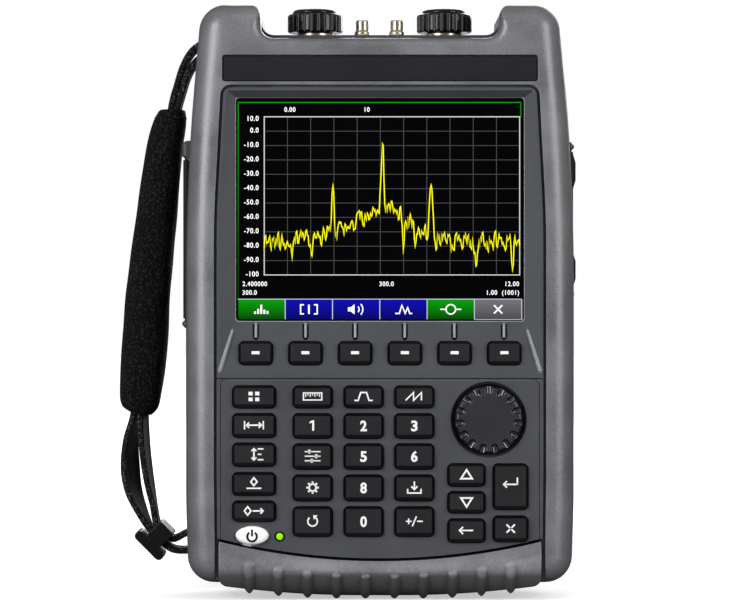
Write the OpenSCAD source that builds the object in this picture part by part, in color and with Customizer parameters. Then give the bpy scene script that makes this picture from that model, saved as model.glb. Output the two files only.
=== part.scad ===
// Handheld spectrum analyzer: an upright, sealed instrument with a screen, a keypad, a tuning knob,
// connectors between two horns at the top, and a hand strap on its left side.
// Millimetres. +Z is up, the user looks along +Y, and the ground is at z = 0.

/* [Housing] */
// Width of each side rail beside the front pocket
rail_w = 14.1; // [13.6:0.1:16]
// How far each side draws in where it starts to bend towards the horns
bend_in = 2.2; // [1.8:0.1:2.8]
// How far each side draws in at the top corners of the horns
shoulder_in = 7.5; // [6.8:0.1:8.2]
// How far each side draws in at the lower corners
foot_in = 1.3; // [0.8:0.1:1.8]
// Height of the horns above the ground
body_h = 288.2; // [287:0.2:292]
// Height of the rail ends above the ground
rail_foot = 8.1; // [7:0.1:9]
// Depth from the middle plane to the crown of the front rails
front_depth = 33; // [33:0.5:35]
// Depth from the middle plane to the crown of the rear rails
rear_depth = 36; // [36:0.5:38]
// Distance of the parting plane in front of the middle plane
parting_depth = 15; // [14.5:0.5:16]
// Radius of the long edges
edge_r = 12; // [10:0.5:12.5]
// Radius of the lower and upper corners, seen from the front
corner_r = 13; // [12.5:0.5:14]
// Width of the chamfer along the parting line
seam = 0.7; // [0.3:0.1:1]
// Width of the gap between the horns
gap_w = 115.2; // [113:0.2:117]
// Height of the front housing's top edge between the horns
gap_front_z = 271.5; // [270:0.1:272]
// Height of the rear housing's top face between the horns
gap_rear_z = 274.1; // [274:0.1:275]
// Radius at the foot of the horns
gap_r = 6; // [4:0.5:8]
// Rounding of the edges of the horn gap
gap_flare = 5; // [3:0.5:6]
// Radius of the inner top corner of each horn
horn_r = 7; // [4:0.5:8]
// Width that the keypad needs between the rails
keypad_w = 160; // [159:0.2:162]
// How far each side of the front pocket draws in at its upper corner
pocket_top_in = 3.4; // [2:0.1:4]
// How far each side of the front pocket draws in beside the end cap
pocket_foot_in = 0.4; // [0.2:0.1:2]
// Height of the upper edge of the front pocket
pocket_top = 248.6; // [248.2:0.1:249.2]
// Dark groove round the panels
groove = 1.4; // [0.8:0.1:1.8]
// Width of the ledge that the panels rest on
ledge = 3; // [2.6:0.1:3.4]
// Distance of the rear cavity from the sides of the body
cavity_in = 19.1; // [18.6:0.1:20]

/* [Screen] */
// Width of the clear window
window_w = 139.1; // [137:0.1:140]
// Height of the clear window
window_h = 107.7; // [106:0.1:108.5]
// Height of the middle of the window
window_z = 188.7; // [188:0.1:189.4]
// Width of the bezel on each side of the window
bezel_side = 10.4; // [10:0.1:11]
// Depth of the slope from the bezel's rim to the window
bezel_slope = 3.8; // [3:0.1:4]
// Thickness of the glass
glass_t = 2; // [1.5:0.1:2.5]
// Border of the glass behind the bezel
glass_lap = 1.7; // [1:0.1:2]
// Thickness of the screen module
lcd_t = 8; // [5:0.5:9]
// Length of the bare title strip
title_w = 151.4; // [140:0.2:152]
// Height of the title strip
title_h = 12.3; // [10:0.1:12.6]
// Height of the middle of the title strip
title_z = 256.6; // [256.4:0.1:257]
// Thickness of the title strip
title_t = 1.2; // [0.8:0.1:1.6]

/* [Keys] */
// Height of the seam between the bezel and the keypad plate
seam_z = 107.1; // [106.6:0.1:107.6]
// Thickness of the keypad plate
plate_t = 3; // [2.5:0.1:3.4]
// Radius of the curved lower edge of the keypad plate
arc_r = 323; // [310:1:340]
// Lowest point of the keypad plate
arc_z = 19.9; // [19.4:0.1:20.4]
// Gap round each key
key_gap = 0.6; // [0.5:0.05:0.8]
// Travel of a key
key_travel = 0.8; // [0.5:0.05:0.9]
// How far a key stands out of its panel
key_rise = 2.6; // [2:0.1:3]
// Corner radius of a key
key_r = 2.2; // [1.5:0.1:2.6]
// Bevel along the top and sides of a key
key_bevel = 0.9; // [0.6:0.1:1.2]
// Bevel along the lower edge of a key
key_bevel_low = 1.7; // [1:0.1:2]
// Distance between soft keys
soft_pitch = 23.94; // [23.6:0.02:24.2]
// Height of the soft keys' row
soft_z = 119.3; // [119:0.1:119.6]
// Size of a soft key's hole
soft_size = [16.8, 12]; // [10:0.1:17]
// Length of the oval power button's hole
power_w = 17.2; // [16:0.1:18]
// Height of the oval power button's hole
power_h = 10.1; // [9.4:0.1:10.6]
// Radius of the status lamp
led_r = 2.1; // [1.5:0.1:2.3]

/* [Knob] */
// Radius of the round well that the knob sits in
well_r = 18.3; // [18:0.1:18.8]
// Radius of the knob's face
knob_r = 16; // [15:0.1:16.4]
// Number of finger scoops
knob_scoops = 15; // [10:1:16]
// Radius of the encoder shaft
shaft_r = 3; // [2.5:0.1:3.2]

/* [Connectors] */
// Distance of each capped port from the middle
port_x = 31.7; // [31:0.1:33]
// Distance of each coaxial jack from the middle
jack_x = 8.5; // [8:0.1:9]
// Radius of the ports' threaded barrel
port_r = 7.75; // [7:0.05:8]
// Radius of the coaxial jacks' threaded barrel
jack_r = 3.175; // [3.1:0.005:3.3]
// Outer radius of a port cap
cap_r = 13.5; // [12.5:0.1:14]
// Height of a port cap
cap_h = 11.2; // [10.6:0.1:11.4]
// Number of flutes round a port cap
cap_flutes = 24; // [12:1:26]

/* [End cap] */
// Height of the lowest face between the ribs
cap_floor = 1.4; // [1:0.1:2]
// Radius of the curved lower face
cap_floor_r = 520; // [450:10:700]
// Radius of the front lower edge
cap_nose_r = 17; // [14:0.5:18]
// How far the cap's brow stands in front of the keypad plate
cap_brow = 1.6; // [1:0.1:2]
// Height of the brow's bevel
cap_bevel = 6; // [4:0.5:7]
// Number of ribs
rib_count = 10; // [6:2:10]
// Distance between ribs
rib_pitch = 14; // [13.6:0.1:14.2]
// Width of a rib
rib_w = 5.4; // [4:0.1:6]
// How far a rib stands out of the cap
rib_rise = 1.4; // [1:0.1:1.8]
// Distance from the cap's upper edge to the top of a rib
rib_drop = 6.6; // [6:0.1:8]
// Radius of the cap's lower corners, seen from the front
cap_corner_r = 4.5; // [3:0.5:7]
// Gap between the cap and each rail
cap_gap = 2; // [1.6:0.1:2.4]

/* [Back] */
// Width of the tilt stand
bail_w = 108; // [100:1:112]
// Height of the tilt stand's hinge
bail_hinge_z = 203; // [202:0.5:205]
// Length of the tilt stand from its hinge
bail_len = 94; // [85:1:96]
// Thickness of the tilt stand
bail_t = 5; // [4.4:0.1:5.2]
// Depth of the panel sunk into the back between the rear rails
back_sink = 2; // [1.6:0.1:2.4]
// Width of the battery bay
battery_w = 116; // [108:1:118]
// Height of the battery bay
battery_h = 64; // [58:1:66]
// Height of the lower edge of the battery bay
battery_z = 34; // [34:0.1:35]
// Thickness of the battery door
battery_door_t = 3.6; // [3:0.1:3.8]
// Radius of the battery door's push catch
latch_r = 5; // [4:0.1:6]

/* [Side doors] */
// Length of a side door from its hinge
door_len = 18; // [16:0.5:18.5]
// Distance of the side doors' hinges in front of the middle plane
door_hinge_depth = 9; // [8:0.5:9.5]
// Lower end of the left door
left_door_z = 136; // [135:0.2:137]
// Height of the left door
left_door_h = 77.4; // [75:0.2:78]
// Lower end of the right door
right_door_z = 150.4; // [149:0.2:152]
// Height of the right door
right_door_h = 67; // [66:0.2:68]
// Radius of a door's hinge barrel
door_barrel_r = 1.7; // [1.5:0.1:1.9]

/* [Strap] */
// Width of the webbing
web_w = 15; // [12:0.5:16]
// Thickness of the webbing
web_t = 2.4; // [2:0.1:2.6]
// Distance of the strap behind the middle plane
strap_y = 22; // [21.5:0.1:22.5]
// Radius of the bars that the webbing goes round
bar_r = 2.5; // [2:0.1:2.7]
// Depth of the padded sleeve, front to back
sleeve_d = 23; // [21:0.5:24]

/* [Clearances] */
// Running clearance of pins, shafts and sliding pieces
run = 0.3; // [0.25:0.01:0.35]
// Clearance between fixed pieces
fit = 0.3; // [0.2:0.05:0.4]
// Clearance round lids and doors
lid_gap = 0.5; // [0.4:0.05:0.6]

/* [Hidden] */
$fn = 48;
far = 60;
pocket_w = max(keypad_w, window_w + 2 * bezel_side);
pocket_top_w = pocket_w - 2 * pocket_top_in;
pocket_foot_w = pocket_w - 2 * pocket_foot_in;
body_w = pocket_w + 2 * rail_w;
bend_w = body_w - 2 * bend_in;
shoulder_w = body_w - 2 * shoulder_in;
foot_w = body_w - 2 * foot_in;
cavity_w = body_w - 2 * cavity_in;
yf = -front_depth;
yr = rear_depth;
yp = -parting_depth;
edge_steps = 8;

// Heights at which the sides of the body and of the front pocket bend
side_bend_z = [48, 176, 228];
pocket_bend_z = [27, 60, 184];

// Panels, front to back
panel_y = yf + 0.6;
plate_back = panel_y + plate_t;
ledge_y = panel_y + bezel_slope + 1.1;
key_back = ledge_y + 0.2;
flange_t = 0.8;
soft_rise = 1;
bezel_back = key_back - flange_t - fit;
dome_h = 0.6;
dome_r = 3;
dome_y = key_back + key_travel + fit;
board_y = dome_y + dome_h;
board_t = 1.6;
glass_y = ledge_y;
lcd_y = glass_y + glass_t + fit;
window_y = panel_y + bezel_slope;
rim_w = 1.2;
seam_gap = 0.25;
border_w = 1.6;
border_r = 3;
line_w = 0.5;
arc_centre = arc_z + arc_r;

// Keys: name, middle x, middle z, width and height of the hole
left_x = -60.6;
left_w = 21.3;
grid_x = [-32.4, -7.9, 16.5];
grid_w = 19.5;
grid_z = [98.3, 84.3, 69.6, 54.5, 38.3];
grid_h = [11.3, 12.6, 13, 13.2, 15];
left_z = [98.3, 84.5, 70.5, 56.4, 43.3];
left_h = [11.4, 12.3, 11.9, 11.7, 10.6];
arrow_x = 41.6;
arrow_w = 18.6;
enter_x = 62.8;
enter_w = 17.4;
left_names = ["mode_key", "frequency_key", "scale_key", "marker_key", "marker_tools_key"];
grid_names = [
    ["measure_key", "bandwidth_key", "sweep_key"],
    ["key_1", "key_2", "key_3"],
    ["setup_key", "key_5", "key_6"],
    ["system_key", "key_8", "save_key"],
    ["preset_key", "key_0", "sign_key"]
];
panel_keys = concat(
    [for (i = [0:4]) [left_names[i], left_x, left_z[i], left_w, left_h[i]]],
    [for (r = [0:4], c = [0:2]) [grid_names[r][c], grid_x[c], grid_z[r], grid_w, grid_h[r]]],
    [
        ["up_key", arrow_x, 60.7, arrow_w, 11.6],
        ["down_key", arrow_x, 47.6, arrow_w, 11.1],
        ["back_key", arrow_x, 33.9, arrow_w, 12.1],
        ["enter_key", enter_x, 55.1, enter_w, 22.7],
        ["escape_key", enter_x, 34.8, enter_w, 13.1]
    ]
);
soft_keys = [
    for (i = [0:5])
        [str("softkey_", i + 1), (i - 2.5) * soft_pitch, soft_z, soft_size[0], soft_size[1]]
];
power_pos = [-61.5, 31.7];
led_pos = [-48.3, 31.2];
knob_pos = [52.3, 87.4];
boss_r = 1.8;
boss_pos = [[-46, 91], [-46, 63], [-46, 49], [29.3, 62], [29.3, 47], [29.3, 104.2]];

// Knob, front to back
knob_front = front_depth + 3;
knob_back = -plate_back - 0.4;
well_y = -knob_back + 0.4;
well_floor = 1;
encoder_w = 13;
encoder_t = 7;
shaft_end = -board_y - board_t - encoder_t + 1;

// Connectors, bottom to top
port_y = -2;
nut_h = 1.7;
nut_r = 8.9;
jack_nut_r = 4.4;
cavity_top = 262;
tail_r = 6;
jack_tail_r = 2.4;
cap_z = gap_rear_z + nut_h + run;
cap_top = cap_z + cap_h;
cap_roof = 1.7;
port_top = cap_top - cap_roof - run;
jack_top = gap_rear_z + 8.2;

// Back, front to back
back_y = yr - back_sink;
back_w = 140;
back_top = 250;
back_corner = 8;
bail_y = back_y - 0.5 - bail_t;
bail_axis_y = bail_y + bail_t / 2;
bail_floor = bail_y - 0.4;
bail_pin_r = 1.6;
pin_len = 3.5;
cavity_y = 25;
bay_floor = 6.5;
bay_wall = 2.5;
pack_t = 19.5;
battery_door_y = back_y - 0.4 - battery_door_t;
battery_axis = [battery_door_y + battery_door_t / 2, battery_z + 2.6];
battery_pin_r = 1.2;
latch_z = battery_z + battery_h - 10;
latch_flange = 1.2;
main_z = [104, 170];
main_y = -8;
// Shield cans on the main board: middle x, middle z, side and height
chips = [[-10, 134, 28, 4], [32, 138, 24, 3]];
post_r = 3.5;
post_pos = [for (x = [-62, 62], z = [main_z[0] + 6, main_z[1] - 6]) [x, z]];
module_size = [120, 29, 86];

// Screws
screw_x = body_w / 2 - 8.6;
screw_z = [52, 118, 236];
screw_r = 1.5;
screw_head_r = 3;
screw_head_h = 3;
screw_seat = 30;
screw_tip = yf + 7;

// Side doors
hinge_y = -door_hinge_depth;
door_in = body_w / 2 - 4.5;
left_door_out = body_w / 2 + 2.1;
right_door_out = body_w / 2 + 0.5;
tab_rise = 1.6;
tab_h = 18.6;
tab_end = 5;
bay_in = cavity_w / 2 + 4.5;
bay_y = [hinge_y + 3, hinge_y + door_len - 2];
bay_inset = 3;
door_pin_r = 1;
door_pin_len = 2.5;
ear_h = 4.4;
left_ear_h = 9;
ear_edge = 1.6;
ear_gap = 0.4;
jack_depth = door_in - bay_in - 1.2;

// Strap route in the plane y = strap_y: distance out from the side of the body, height and twist.
// The webbing hangs slack from the sleeve, goes through the buckle and round the lower bar, back through
// the buckle and the sleeve, round the upper bar, and down into the sleeve again.
bar_low = [-body_w / 2 + 7.1, 25];
bar_high = [-body_w / 2 + 9.6, 270];
loop_r = bar_r + web_t / 2 + 0.5;
function on_bar(c, a) = [c[0] + loop_r * cos(a), c[1] + loop_r * sin(a), 0];
function beside(line) = [for (p = line) [-body_w / 2 - p[0], p[1], p[2]]];
slack_line = beside([
    [26.5, 104, 0], [27.5, 95, 0], [28.7, 86, 2], [30.3, 75, 16], [30.5, 62, 26], [29.1, 51, 22],
    [25.5, 41, 11], [20.5, 31.1, 0], [16.4, 27, 0], [12.8, 23.4, 0], [9.3, 21, 0], [4.9, 20.2, 0],
    [-0.6, 20.4, 0]
]);
grip_line = beside([
    [-1.6, 29.8, 0], [2.7, 28.6, 0], [6.5, 26.6, 0], [8.9, 26, 0], [10.7, 27.3, 0], [13.4, 30, 0],
    [17, 33.6, 0], [18.8, 43, 0], [20.3, 50.5, 0], [21.9, 60, 0], [23.1, 70, 0], [23.7, 80, 0],
    [23.9, 88, 0], [23.7, 95, 0], [22.3, 120, 0], [19.9, 148, 0], [17.1, 180, 0], [13.8, 212, 0],
    [9.8, 240, 0], [6.8, 252, 0], [3.5, 262, 0], [-0.9, 269.2, 0]
]);
back_line = beside([
    [-4.3, 265.2, 0], [-1.1, 261.9, 0], [1.8, 256.4, 0], [4.3, 248.6, 0], [6.7, 240, 0], [8.1, 232, 0]
]);
route = concat(
    slack_line, [for (a = [-90, -30, 30, 90]) on_bar(bar_low, a)],
    grip_line, [for (a = [130, 60, -10, -75, -110]) on_bar(bar_high, a)], back_line
);
route_steps = 2;
// Middle line of the padded sleeve: distance out from the side of the body, height and half width
sleeve_line = beside([
    [9.6, 239.4, 5.6], [9.8, 238.4, 7.2], [11.3, 232, 8.5], [13.6, 219, 9.15], [16, 198, 9.85],
    [19.1, 172, 10.6], [21.7, 145, 11.1], [23.6, 118, 11.4], [25.1, 100, 10.5], [25.2, 93, 9.4],
    [24.5, 90, 7.2], [23.5, 87.8, 4]
]);
sleeve_sides = 24;
slot_gap = 1;
// Buckle: a block that both strands go through, and a round bar along its outer side
buckle_pos = [-body_w / 2 - 14.9, 28.5];
buckle_turn = 45;
buckle_d = web_w + 6;
block_size = [9, 10];
block_r = 1.2;
guard_size = [18.2, 4.6];
guard_z = -7.7;
neck_w = 4;
strand_off = 2.1;

// Rounded outlines: each corner is [x, z, radius, steps], in order anticlockwise seen from the front.
// A corner with no radius stays sharp. The outline is drawn in by e.
function unit(v) = v / norm(v);
function corner_points(a, b, c, e) =
    let (
        p = [b[0], b[1]],
        u = unit([a[0], a[1]] - p),
        v = unit([c[0], c[1]] - p),
        half = acos(u * v) / 2,
        convex = cross(-u, v) > 0 ? 1 : -1,
        toward = convex * unit(u + v) / sin(half),
        start = atan2(u[0], -u[1]),
        turn = 180 - 2 * half
    )
    b[2] == 0
        ? [p + toward * e]
        : [for (k = [0:b[3]])
            let (t = start + convex * turn * k / b[3])
            p + convex * toward * b[2] + (convex * b[2] - e) * [cos(t), sin(t)]];
function outline(corners, e = 0) =
    let (n = len(corners))
    [for (i = [0:n - 1]) each corner_points(corners[(i + n - 1) % n], corners[i], corners[(i + 1) % n], e)];
function both_sides(right) =
    concat(right, [for (i = [len(right) - 1:-1:0]) [-right[i][0], right[i][1], right[i][2], right[i][3]]]);

housing_corners = both_sides([
    [foot_w / 2, rail_foot, corner_r, 8],
    [body_w / 2, side_bend_z[0], 400, 2],
    [body_w / 2, side_bend_z[1], 900, 3],
    [bend_w / 2, side_bend_z[2], 900, 3],
    [shoulder_w / 2, body_h, corner_r, 8]
]);
pocket_corners = both_sides([
    [pocket_foot_w / 2, -20, 0, 0],
    [pocket_foot_w / 2, pocket_bend_z[0], 0, 0],
    [pocket_w / 2, pocket_bend_z[1], 200, 2],
    [pocket_w / 2, pocket_bend_z[2], 500, 3],
    [pocket_top_w / 2, pocket_top, 5, 5]
]);
// The horn's inner corner stops just above its top face, and above the gap's floor at any height.
function horn_top(floor_z) = max(body_h, floor_z + gap_r + horn_r + 1) + 0.3;
function gap_corners(floor_z) = both_sides([
    [gap_w / 2, floor_z, gap_r, 6],
    [gap_w / 2, horn_top(floor_z), horn_r, 6],
    [body_w, horn_top(floor_z), 0, 0],
    [body_w, horn_top(floor_z) + far, 0, 0]
]);
function gap_edge(floor_z, t) = outline(gap_corners(floor_z), -gap_flare * (1 - cos(t)));

// Rings and lofts: a ring is an outline at one depth, and a loft joins rings of one length.
function ring(points, y) = [for (p = points) [p[0], y, p[1]]];
module loft(rings) {
    n = len(rings[0]);
    last = (len(rings) - 1) * n;
    sides = [
        for (j = [0:len(rings) - 2], i = [0:n - 1])
            let (a = j * n + i, b = j * n + (i + 1) % n)
            each [[a, b, b + n], [a, b + n, a + n]]
    ];
    front_cap = [for (i = [n - 1:-1:0]) i];
    rear_cap = [for (i = [0:n - 1]) last + i];
    polyhedron(points = [for (r = rings) each r], faces = concat([front_cap], sides, [rear_cap]));
}

// Prisms along each axis: a drawing of (x, z) along y, and of (y, z) along x.
module along_y(y0, y1) {
    translate([0, y1, 0]) rotate([90, 0, 0]) linear_extrude(y1 - y0) children();
}
module along_x(x0, x1) {
    translate([x0, 0, 0]) rotate([90, 0, 90]) linear_extrude(x1 - x0) children();
}
module rod_y(pos, r, y0, y1) {
    along_y(y0, y1) translate(pos) circle(r);
}
module rod_z(pos, r, z0, z1) {
    translate([pos[0], pos[1], z0]) cylinder(r = r, h = z1 - z0);
}
module rounded(w, h, r) {
    square([w - 2 * r, h], center = true);
    square([w, h - 2 * r], center = true);
    for (x = [-1, 1], z = [-1, 1]) translate([x * (w / 2 - r), z * (h / 2 - r)]) circle(r);
}
module plate(x0, x1, y0, y1, z0, z1, r) {
    along_y(y0, y1) translate([(x0 + x1) / 2, (z0 + z1) / 2]) rounded(x1 - x0, z1 - z0, r);
}
module slab(x0, x1, y0, y1, z0, z1) {
    translate([x0, y0, z0]) cube([x1 - x0, y1 - y0, z1 - z0]);
}
function ellipse(a, b, n = 40) = [for (i = [0:n - 1]) [a * cos(360 * i / n), b * sin(360 * i / n)]];

// Housings
module front_form() {
    round_rings = [
        for (k = [0:edge_steps])
            let (t = 90 * k / edge_steps)
            ring(outline(housing_corners, edge_r * (1 - sin(t))), yf + edge_r * (1 - cos(t)))
    ];
    difference() {
        loft(concat(round_rings, [
            ring(outline(housing_corners), yp - seam),
            ring(outline(housing_corners, seam), yp)
        ]));
        loft(concat([ring(outline(gap_corners(gap_front_z), -gap_flare), yf - 1)], [
            for (k = [6:-1:0])
                let (t = 90 * k / 6)
                ring(gap_edge(gap_front_z, t), yf + gap_flare * (1 - sin(t)))
        ], [ring(outline(gap_corners(gap_front_z)), yp + 1)]));
    }
}
module rear_form() {
    round_rings = [
        for (k = [edge_steps:-1:0])
            let (t = 90 * k / edge_steps)
            ring(outline(housing_corners, edge_r * (1 - sin(t))), yr - edge_r * (1 - cos(t)))
    ];
    difference() {
        loft(concat([
            ring(outline(housing_corners, seam), yp),
            ring(outline(housing_corners), yp + seam)
        ], round_rings));
        loft(concat([ring(outline(gap_corners(gap_rear_z)), yp - 1)], [
            for (k = [0:6])
                let (t = 90 * k / 6)
                ring(gap_edge(gap_rear_z, t), yr - gap_flare * (1 - sin(t)))
        ], [ring(outline(gap_corners(gap_rear_z), -gap_flare), yr + 1)]));
    }
}
module pocket_shape(e) {
    polygon(outline(pocket_corners, e));
}
module screw_holes(r, y0, y1) {
    for (x = [-1, 1], z = screw_z) rod_y([x * screw_x, z], r, y0, y1);
}

module front_housing() color("#808185") {
    difference() {
        front_form();
        along_y(yf - 1, ledge_y) pocket_shape(0);
        along_y(ledge_y - 1, yp + 1) pocket_shape(ledge);
        along_y(ledge_y - 1, yp + 1) cap_gap_shape();
        plate(-title_w / 2 - fit, title_w / 2 + fit, yf - 1, yf + title_t,
            title_z - title_h / 2 - fit, title_z + title_h / 2 + fit, 1.5);
        screw_holes(screw_r + 0.2, screw_tip - 1, yp + 1);
    }
}

module cap_gap_shape() {
    difference() {
        pocket_shape(cap_gap - fit);
        translate([0, arc_centre]) circle(arc_r + groove / 2 - fit, $fn = 180);
        translate([-far * 2, arc_z + 14]) square([far * 4, far * 5]);
    }
}
module strap_pocket(bar, z0, z1) {
    slab(-far * 2, bar[0] + loop_r + 3, strap_y - web_w / 2 - 1.5, strap_y + web_w / 2 + 1.5, z0, z1);
}
module strap_bar(bar) {
    rod_y(bar, bar_r, strap_y - web_w / 2 - 3, strap_y + web_w / 2 + 3);
}
module door_recess(out, z0, h) {
    barrel_room = door_barrel_r + lid_gap;
    reach = ear_gap + door_pin_len + 1;
    slab(door_in - fit, far * 2, hinge_y - barrel_room, hinge_y + door_len + 2 * lid_gap,
        z0 - ear_gap, z0 + h + ear_gap);
    slab(bay_in, door_in, bay_y[0], bay_y[1], z0 + bay_inset, z0 + h - bay_inset);
    rod_z([out - door_barrel_r, hinge_y], door_pin_r + run, z0 - reach, z0 + h + reach);
}
module door_ears(out, z0, h, top_h) {
    axis_x = out - door_barrel_r;
    ear_r = door_barrel_r + 0.5;
    for (ear = [[z0 - ear_gap - ear_h, ear_h], [z0 + h + ear_gap, top_h]]) {
        tall = ear[1];
        translate([axis_x, hinge_y, ear[0]]) rotate_extrude() polygon([
            [0, 0], [ear_r - ear_edge, 0], [ear_r, ear_edge],
            [ear_r, tall - ear_edge], [ear_r - ear_edge, tall], [0, tall]
        ]);
        slab(door_in - 4, axis_x, hinge_y - ear_r, hinge_y + ear_r, ear[0], ear[0] + tall);
    }
}
module rear_housing() color("#75767a") {
    bay_x = battery_w / 2;
    bay_top = battery_z + battery_h;
    difference() {
        union() {
            difference() {
                rear_form();
                slab(-cavity_w / 2, cavity_w / 2, yp - 1, cavity_y, battery_z, cavity_top);
                plate(-back_w / 2, back_w / 2, back_y, yr + 1, battery_z - 3, back_top, back_corner);
            }
            slab(-bay_x - bay_wall, bay_x + bay_wall, bay_floor - bay_wall, cavity_y + 1,
                battery_z - bay_wall, bay_top + bay_wall);
            for (p = post_pos) rod_y(p, post_r, main_y + board_t, cavity_y + 1);
            mirror([1, 0, 0]) door_ears(left_door_out, left_door_z, left_door_h, left_ear_h);
            door_ears(right_door_out, right_door_z, right_door_h, ear_h);
        }
        along_y(yp - 1, yr + 1) cap_gap_shape();
        slab(-bay_x, bay_x, bay_floor, yr + 1, battery_z, bay_top);
        along_x(-bay_x - pin_len - 1, bay_x + pin_len + 1)
            translate(battery_axis) circle(battery_pin_r + run);
        plate(-bail_w / 2 - 0.6, bail_w / 2 + 0.6, bail_floor, yr + 1,
            bail_hinge_z - bail_len - 0.8, bail_hinge_z + bail_t / 2 + 2, 2);
        along_x(-bail_w / 2 - pin_len - 1, bail_w / 2 + pin_len + 1)
            translate([bail_axis_y, bail_hinge_z]) circle(bail_pin_r + run);
        screw_holes(screw_r + 0.3, yp - 1, yr + 1);
        screw_holes(screw_head_r + 0.4, screw_seat, yr + 1);
        mirror([1, 0, 0]) door_recess(left_door_out, left_door_z, left_door_h);
        door_recess(right_door_out, right_door_z, right_door_h);
        difference() {
            strap_pocket(bar_low, bar_low[1] - 10.5, bar_low[1] + 9.5);
            strap_bar(bar_low);
        }
        difference() {
            strap_pocket(bar_high, bar_high[1] - 13, bar_high[1] + 7.5);
            strap_bar(bar_high);
        }
        for (x = [-1, 1]) {
            rod_z([x * port_x, port_y], tail_r + fit, cavity_top - 1, gap_rear_z + 1);
            rod_z([x * jack_x, port_y], jack_tail_r + fit, cavity_top - 1, gap_rear_z + 1);
        }
    }
}

// End cap: the brow follows the curved edge of the keypad plate, and the nose rolls under the body.
cap_front = panel_y - cap_brow;
cap_rear = yr - 1.5;
module cap_profile(grow) {
    r = cap_nose_r;
    y0 = cap_front - grow;
    y1 = cap_rear + grow;
    z0 = cap_floor - grow;
    translate([y0, z0 + r]) square([y1 - y0, far]);
    translate([y0 + r, z0]) square([y1 - y0 - 2 * r, far]);
    translate([y0 + r, z0 + r]) circle(r);
    translate([y1 - r, z0 + r]) circle(r);
}
module cap_arc_body(start_r, top_y) {
    translate([0, 0, arc_centre]) rotate([90, 0, 0]) rotate([0, 0, -120])
        rotate_extrude(angle = 60, $fn = 180) polygon([
            [start_r, -cap_rear - 2], [start_r + far, -cap_rear - 2], [start_r + far, -cap_front + 3],
            [start_r + cap_bevel, -cap_front + 3], [start_r + cap_bevel, -cap_front], [start_r, -top_y]
        ]);
}
// Each lower corner is an arc that touches the cap's side and its curved lower face.
cap_side = pocket_foot_w / 2 - cap_gap;
cap_corner_x = cap_side - cap_corner_r;
cap_corner_z = cap_floor + cap_floor_r - sqrt(pow(cap_floor_r - cap_corner_r, 2) - pow(cap_corner_x, 2));
module cap_front_shape() {
    difference() {
        intersection() {
            pocket_shape(cap_gap);
            translate([0, cap_floor + cap_floor_r]) circle(cap_floor_r, $fn = 180);
        }
        for (side = [-1, 1])
            translate([side * cap_side, cap_corner_z - cap_corner_r]) square(2 * cap_corner_r, center = true);
    }
    for (side = [-1, 1]) translate([side * cap_corner_x, cap_corner_z]) circle(cap_corner_r);
}
// The ribs end in one plane out to where the lower face has risen by this much.
foot_flat = 0.5;
rib_steps = 4;
rib_r = (rib_w * rib_w / 4 + rib_rise * rib_rise) / (2 * rib_rise);
module end_cap() color("#7b7b7f") {
    intersection() {
        cap_arc_body(arc_r + groove / 2, panel_y);
        along_x(-far * 2, far * 2) cap_profile(0);
        along_y(yf - 9, yr) cap_front_shape();
    }
    // Each rib is rounded over in steps: height above the cap and half width of a step
    for (k = [1:rib_steps]) {
        high = rib_rise * (1 - pow(1 - k / rib_steps, 2));
        mid = rib_r - rib_rise * pow(1 - (k - 0.5) / rib_steps, 2);
        half = sqrt(rib_r * rib_r - mid * mid);
        intersection() {
            along_x(-far * 2, far * 2) cap_profile(high);
            along_y(yf - 9, yr - cap_nose_r) for (i = [0:rib_count - 1]) {
                x = (i - (rib_count - 1) / 2) * rib_pitch;
                top = arc_centre - sqrt(pow(arc_r + rib_drop, 2) - x * x) - rib_w / 2;
                rise = max(0, x * x / (2 * cap_floor_r) - foot_flat);
                foot = cap_floor + rise - high + half;
                translate([x - half, foot]) square([2 * half, top - foot]);
                for (z = [foot, top]) translate([x, z]) circle(half);
            }
        }
    }
}

// Screen and panels
module key_hole(k) {
    translate([k[1], k[2]]) rounded(k[3], k[4], key_r + key_gap);
}
module display_bezel() color("#46484b") {
    low = seam_z + seam_gap;
    wide = pocket_w / 2 - groove - rim_w;
    narrow = pocket_top_w / 2 - groove - rim_w;
    high = pocket_top - groove - rim_w;
    bend = pocket_bend_z[2];
    outer = [
        [-wide, low + rim_w], [wide, low + rim_w], [wide, bend],
        [narrow, high], [-narrow, high], [-wide, bend]
    ];
    pointer_r = 1.2;
    pointer_len = 8;
    pointer_depth = 0.6;
    window_low = window_z - window_h / 2;
    slope = -atan(bezel_slope / (window_low - low - rim_w));
    difference() {
        along_y(panel_y, ledge_y) intersection() {
            pocket_shape(groove);
            translate([-far * 2, low]) square([far * 4, far * 5]);
        }
        hull() {
            along_y(panel_y - 0.1, panel_y) polygon(outer);
            along_y(window_y - 0.1, window_y)
                translate([0, window_z]) square([window_w, window_h], center = true);
        }
        along_y(panel_y, ledge_y + 1) translate([0, window_z]) rounded(window_w, window_h, 2);
        along_y(panel_y - 1, ledge_y + 1) for (k = soft_keys) key_hole(k);
        slab(-soft_pitch * 3 - 1, soft_pitch * 3 + 1, bezel_back, ledge_y + 1,
            soft_z - soft_size[1] / 2 - 2.5, soft_z + soft_size[1] / 2 + 2.5);
        for (k = soft_keys) translate([k[1], window_y, window_low]) rotate([slope, 0, 0]) {
            slab(-pointer_r, pointer_r, -far, pointer_depth, -pointer_len, 0);
            rod_y([0, -pointer_len], pointer_r, -far, pointer_depth);
        }
    }
    // Ridge down each lower mitre: distance from the window's corner, depth and radius
    ridge = [[1.1, -3, window_y - 0.35, 0.5], [4, -13, window_y - 2, 0.95], [6.8, -23, panel_y + 0.7, 0.7]];
    for (side = [-1, 1]) hull() for (r = ridge)
        translate([side * (window_w / 2 + r[0]), r[2], window_low + r[1]])
            sphere(r[3], $fn = 16);
}
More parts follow.
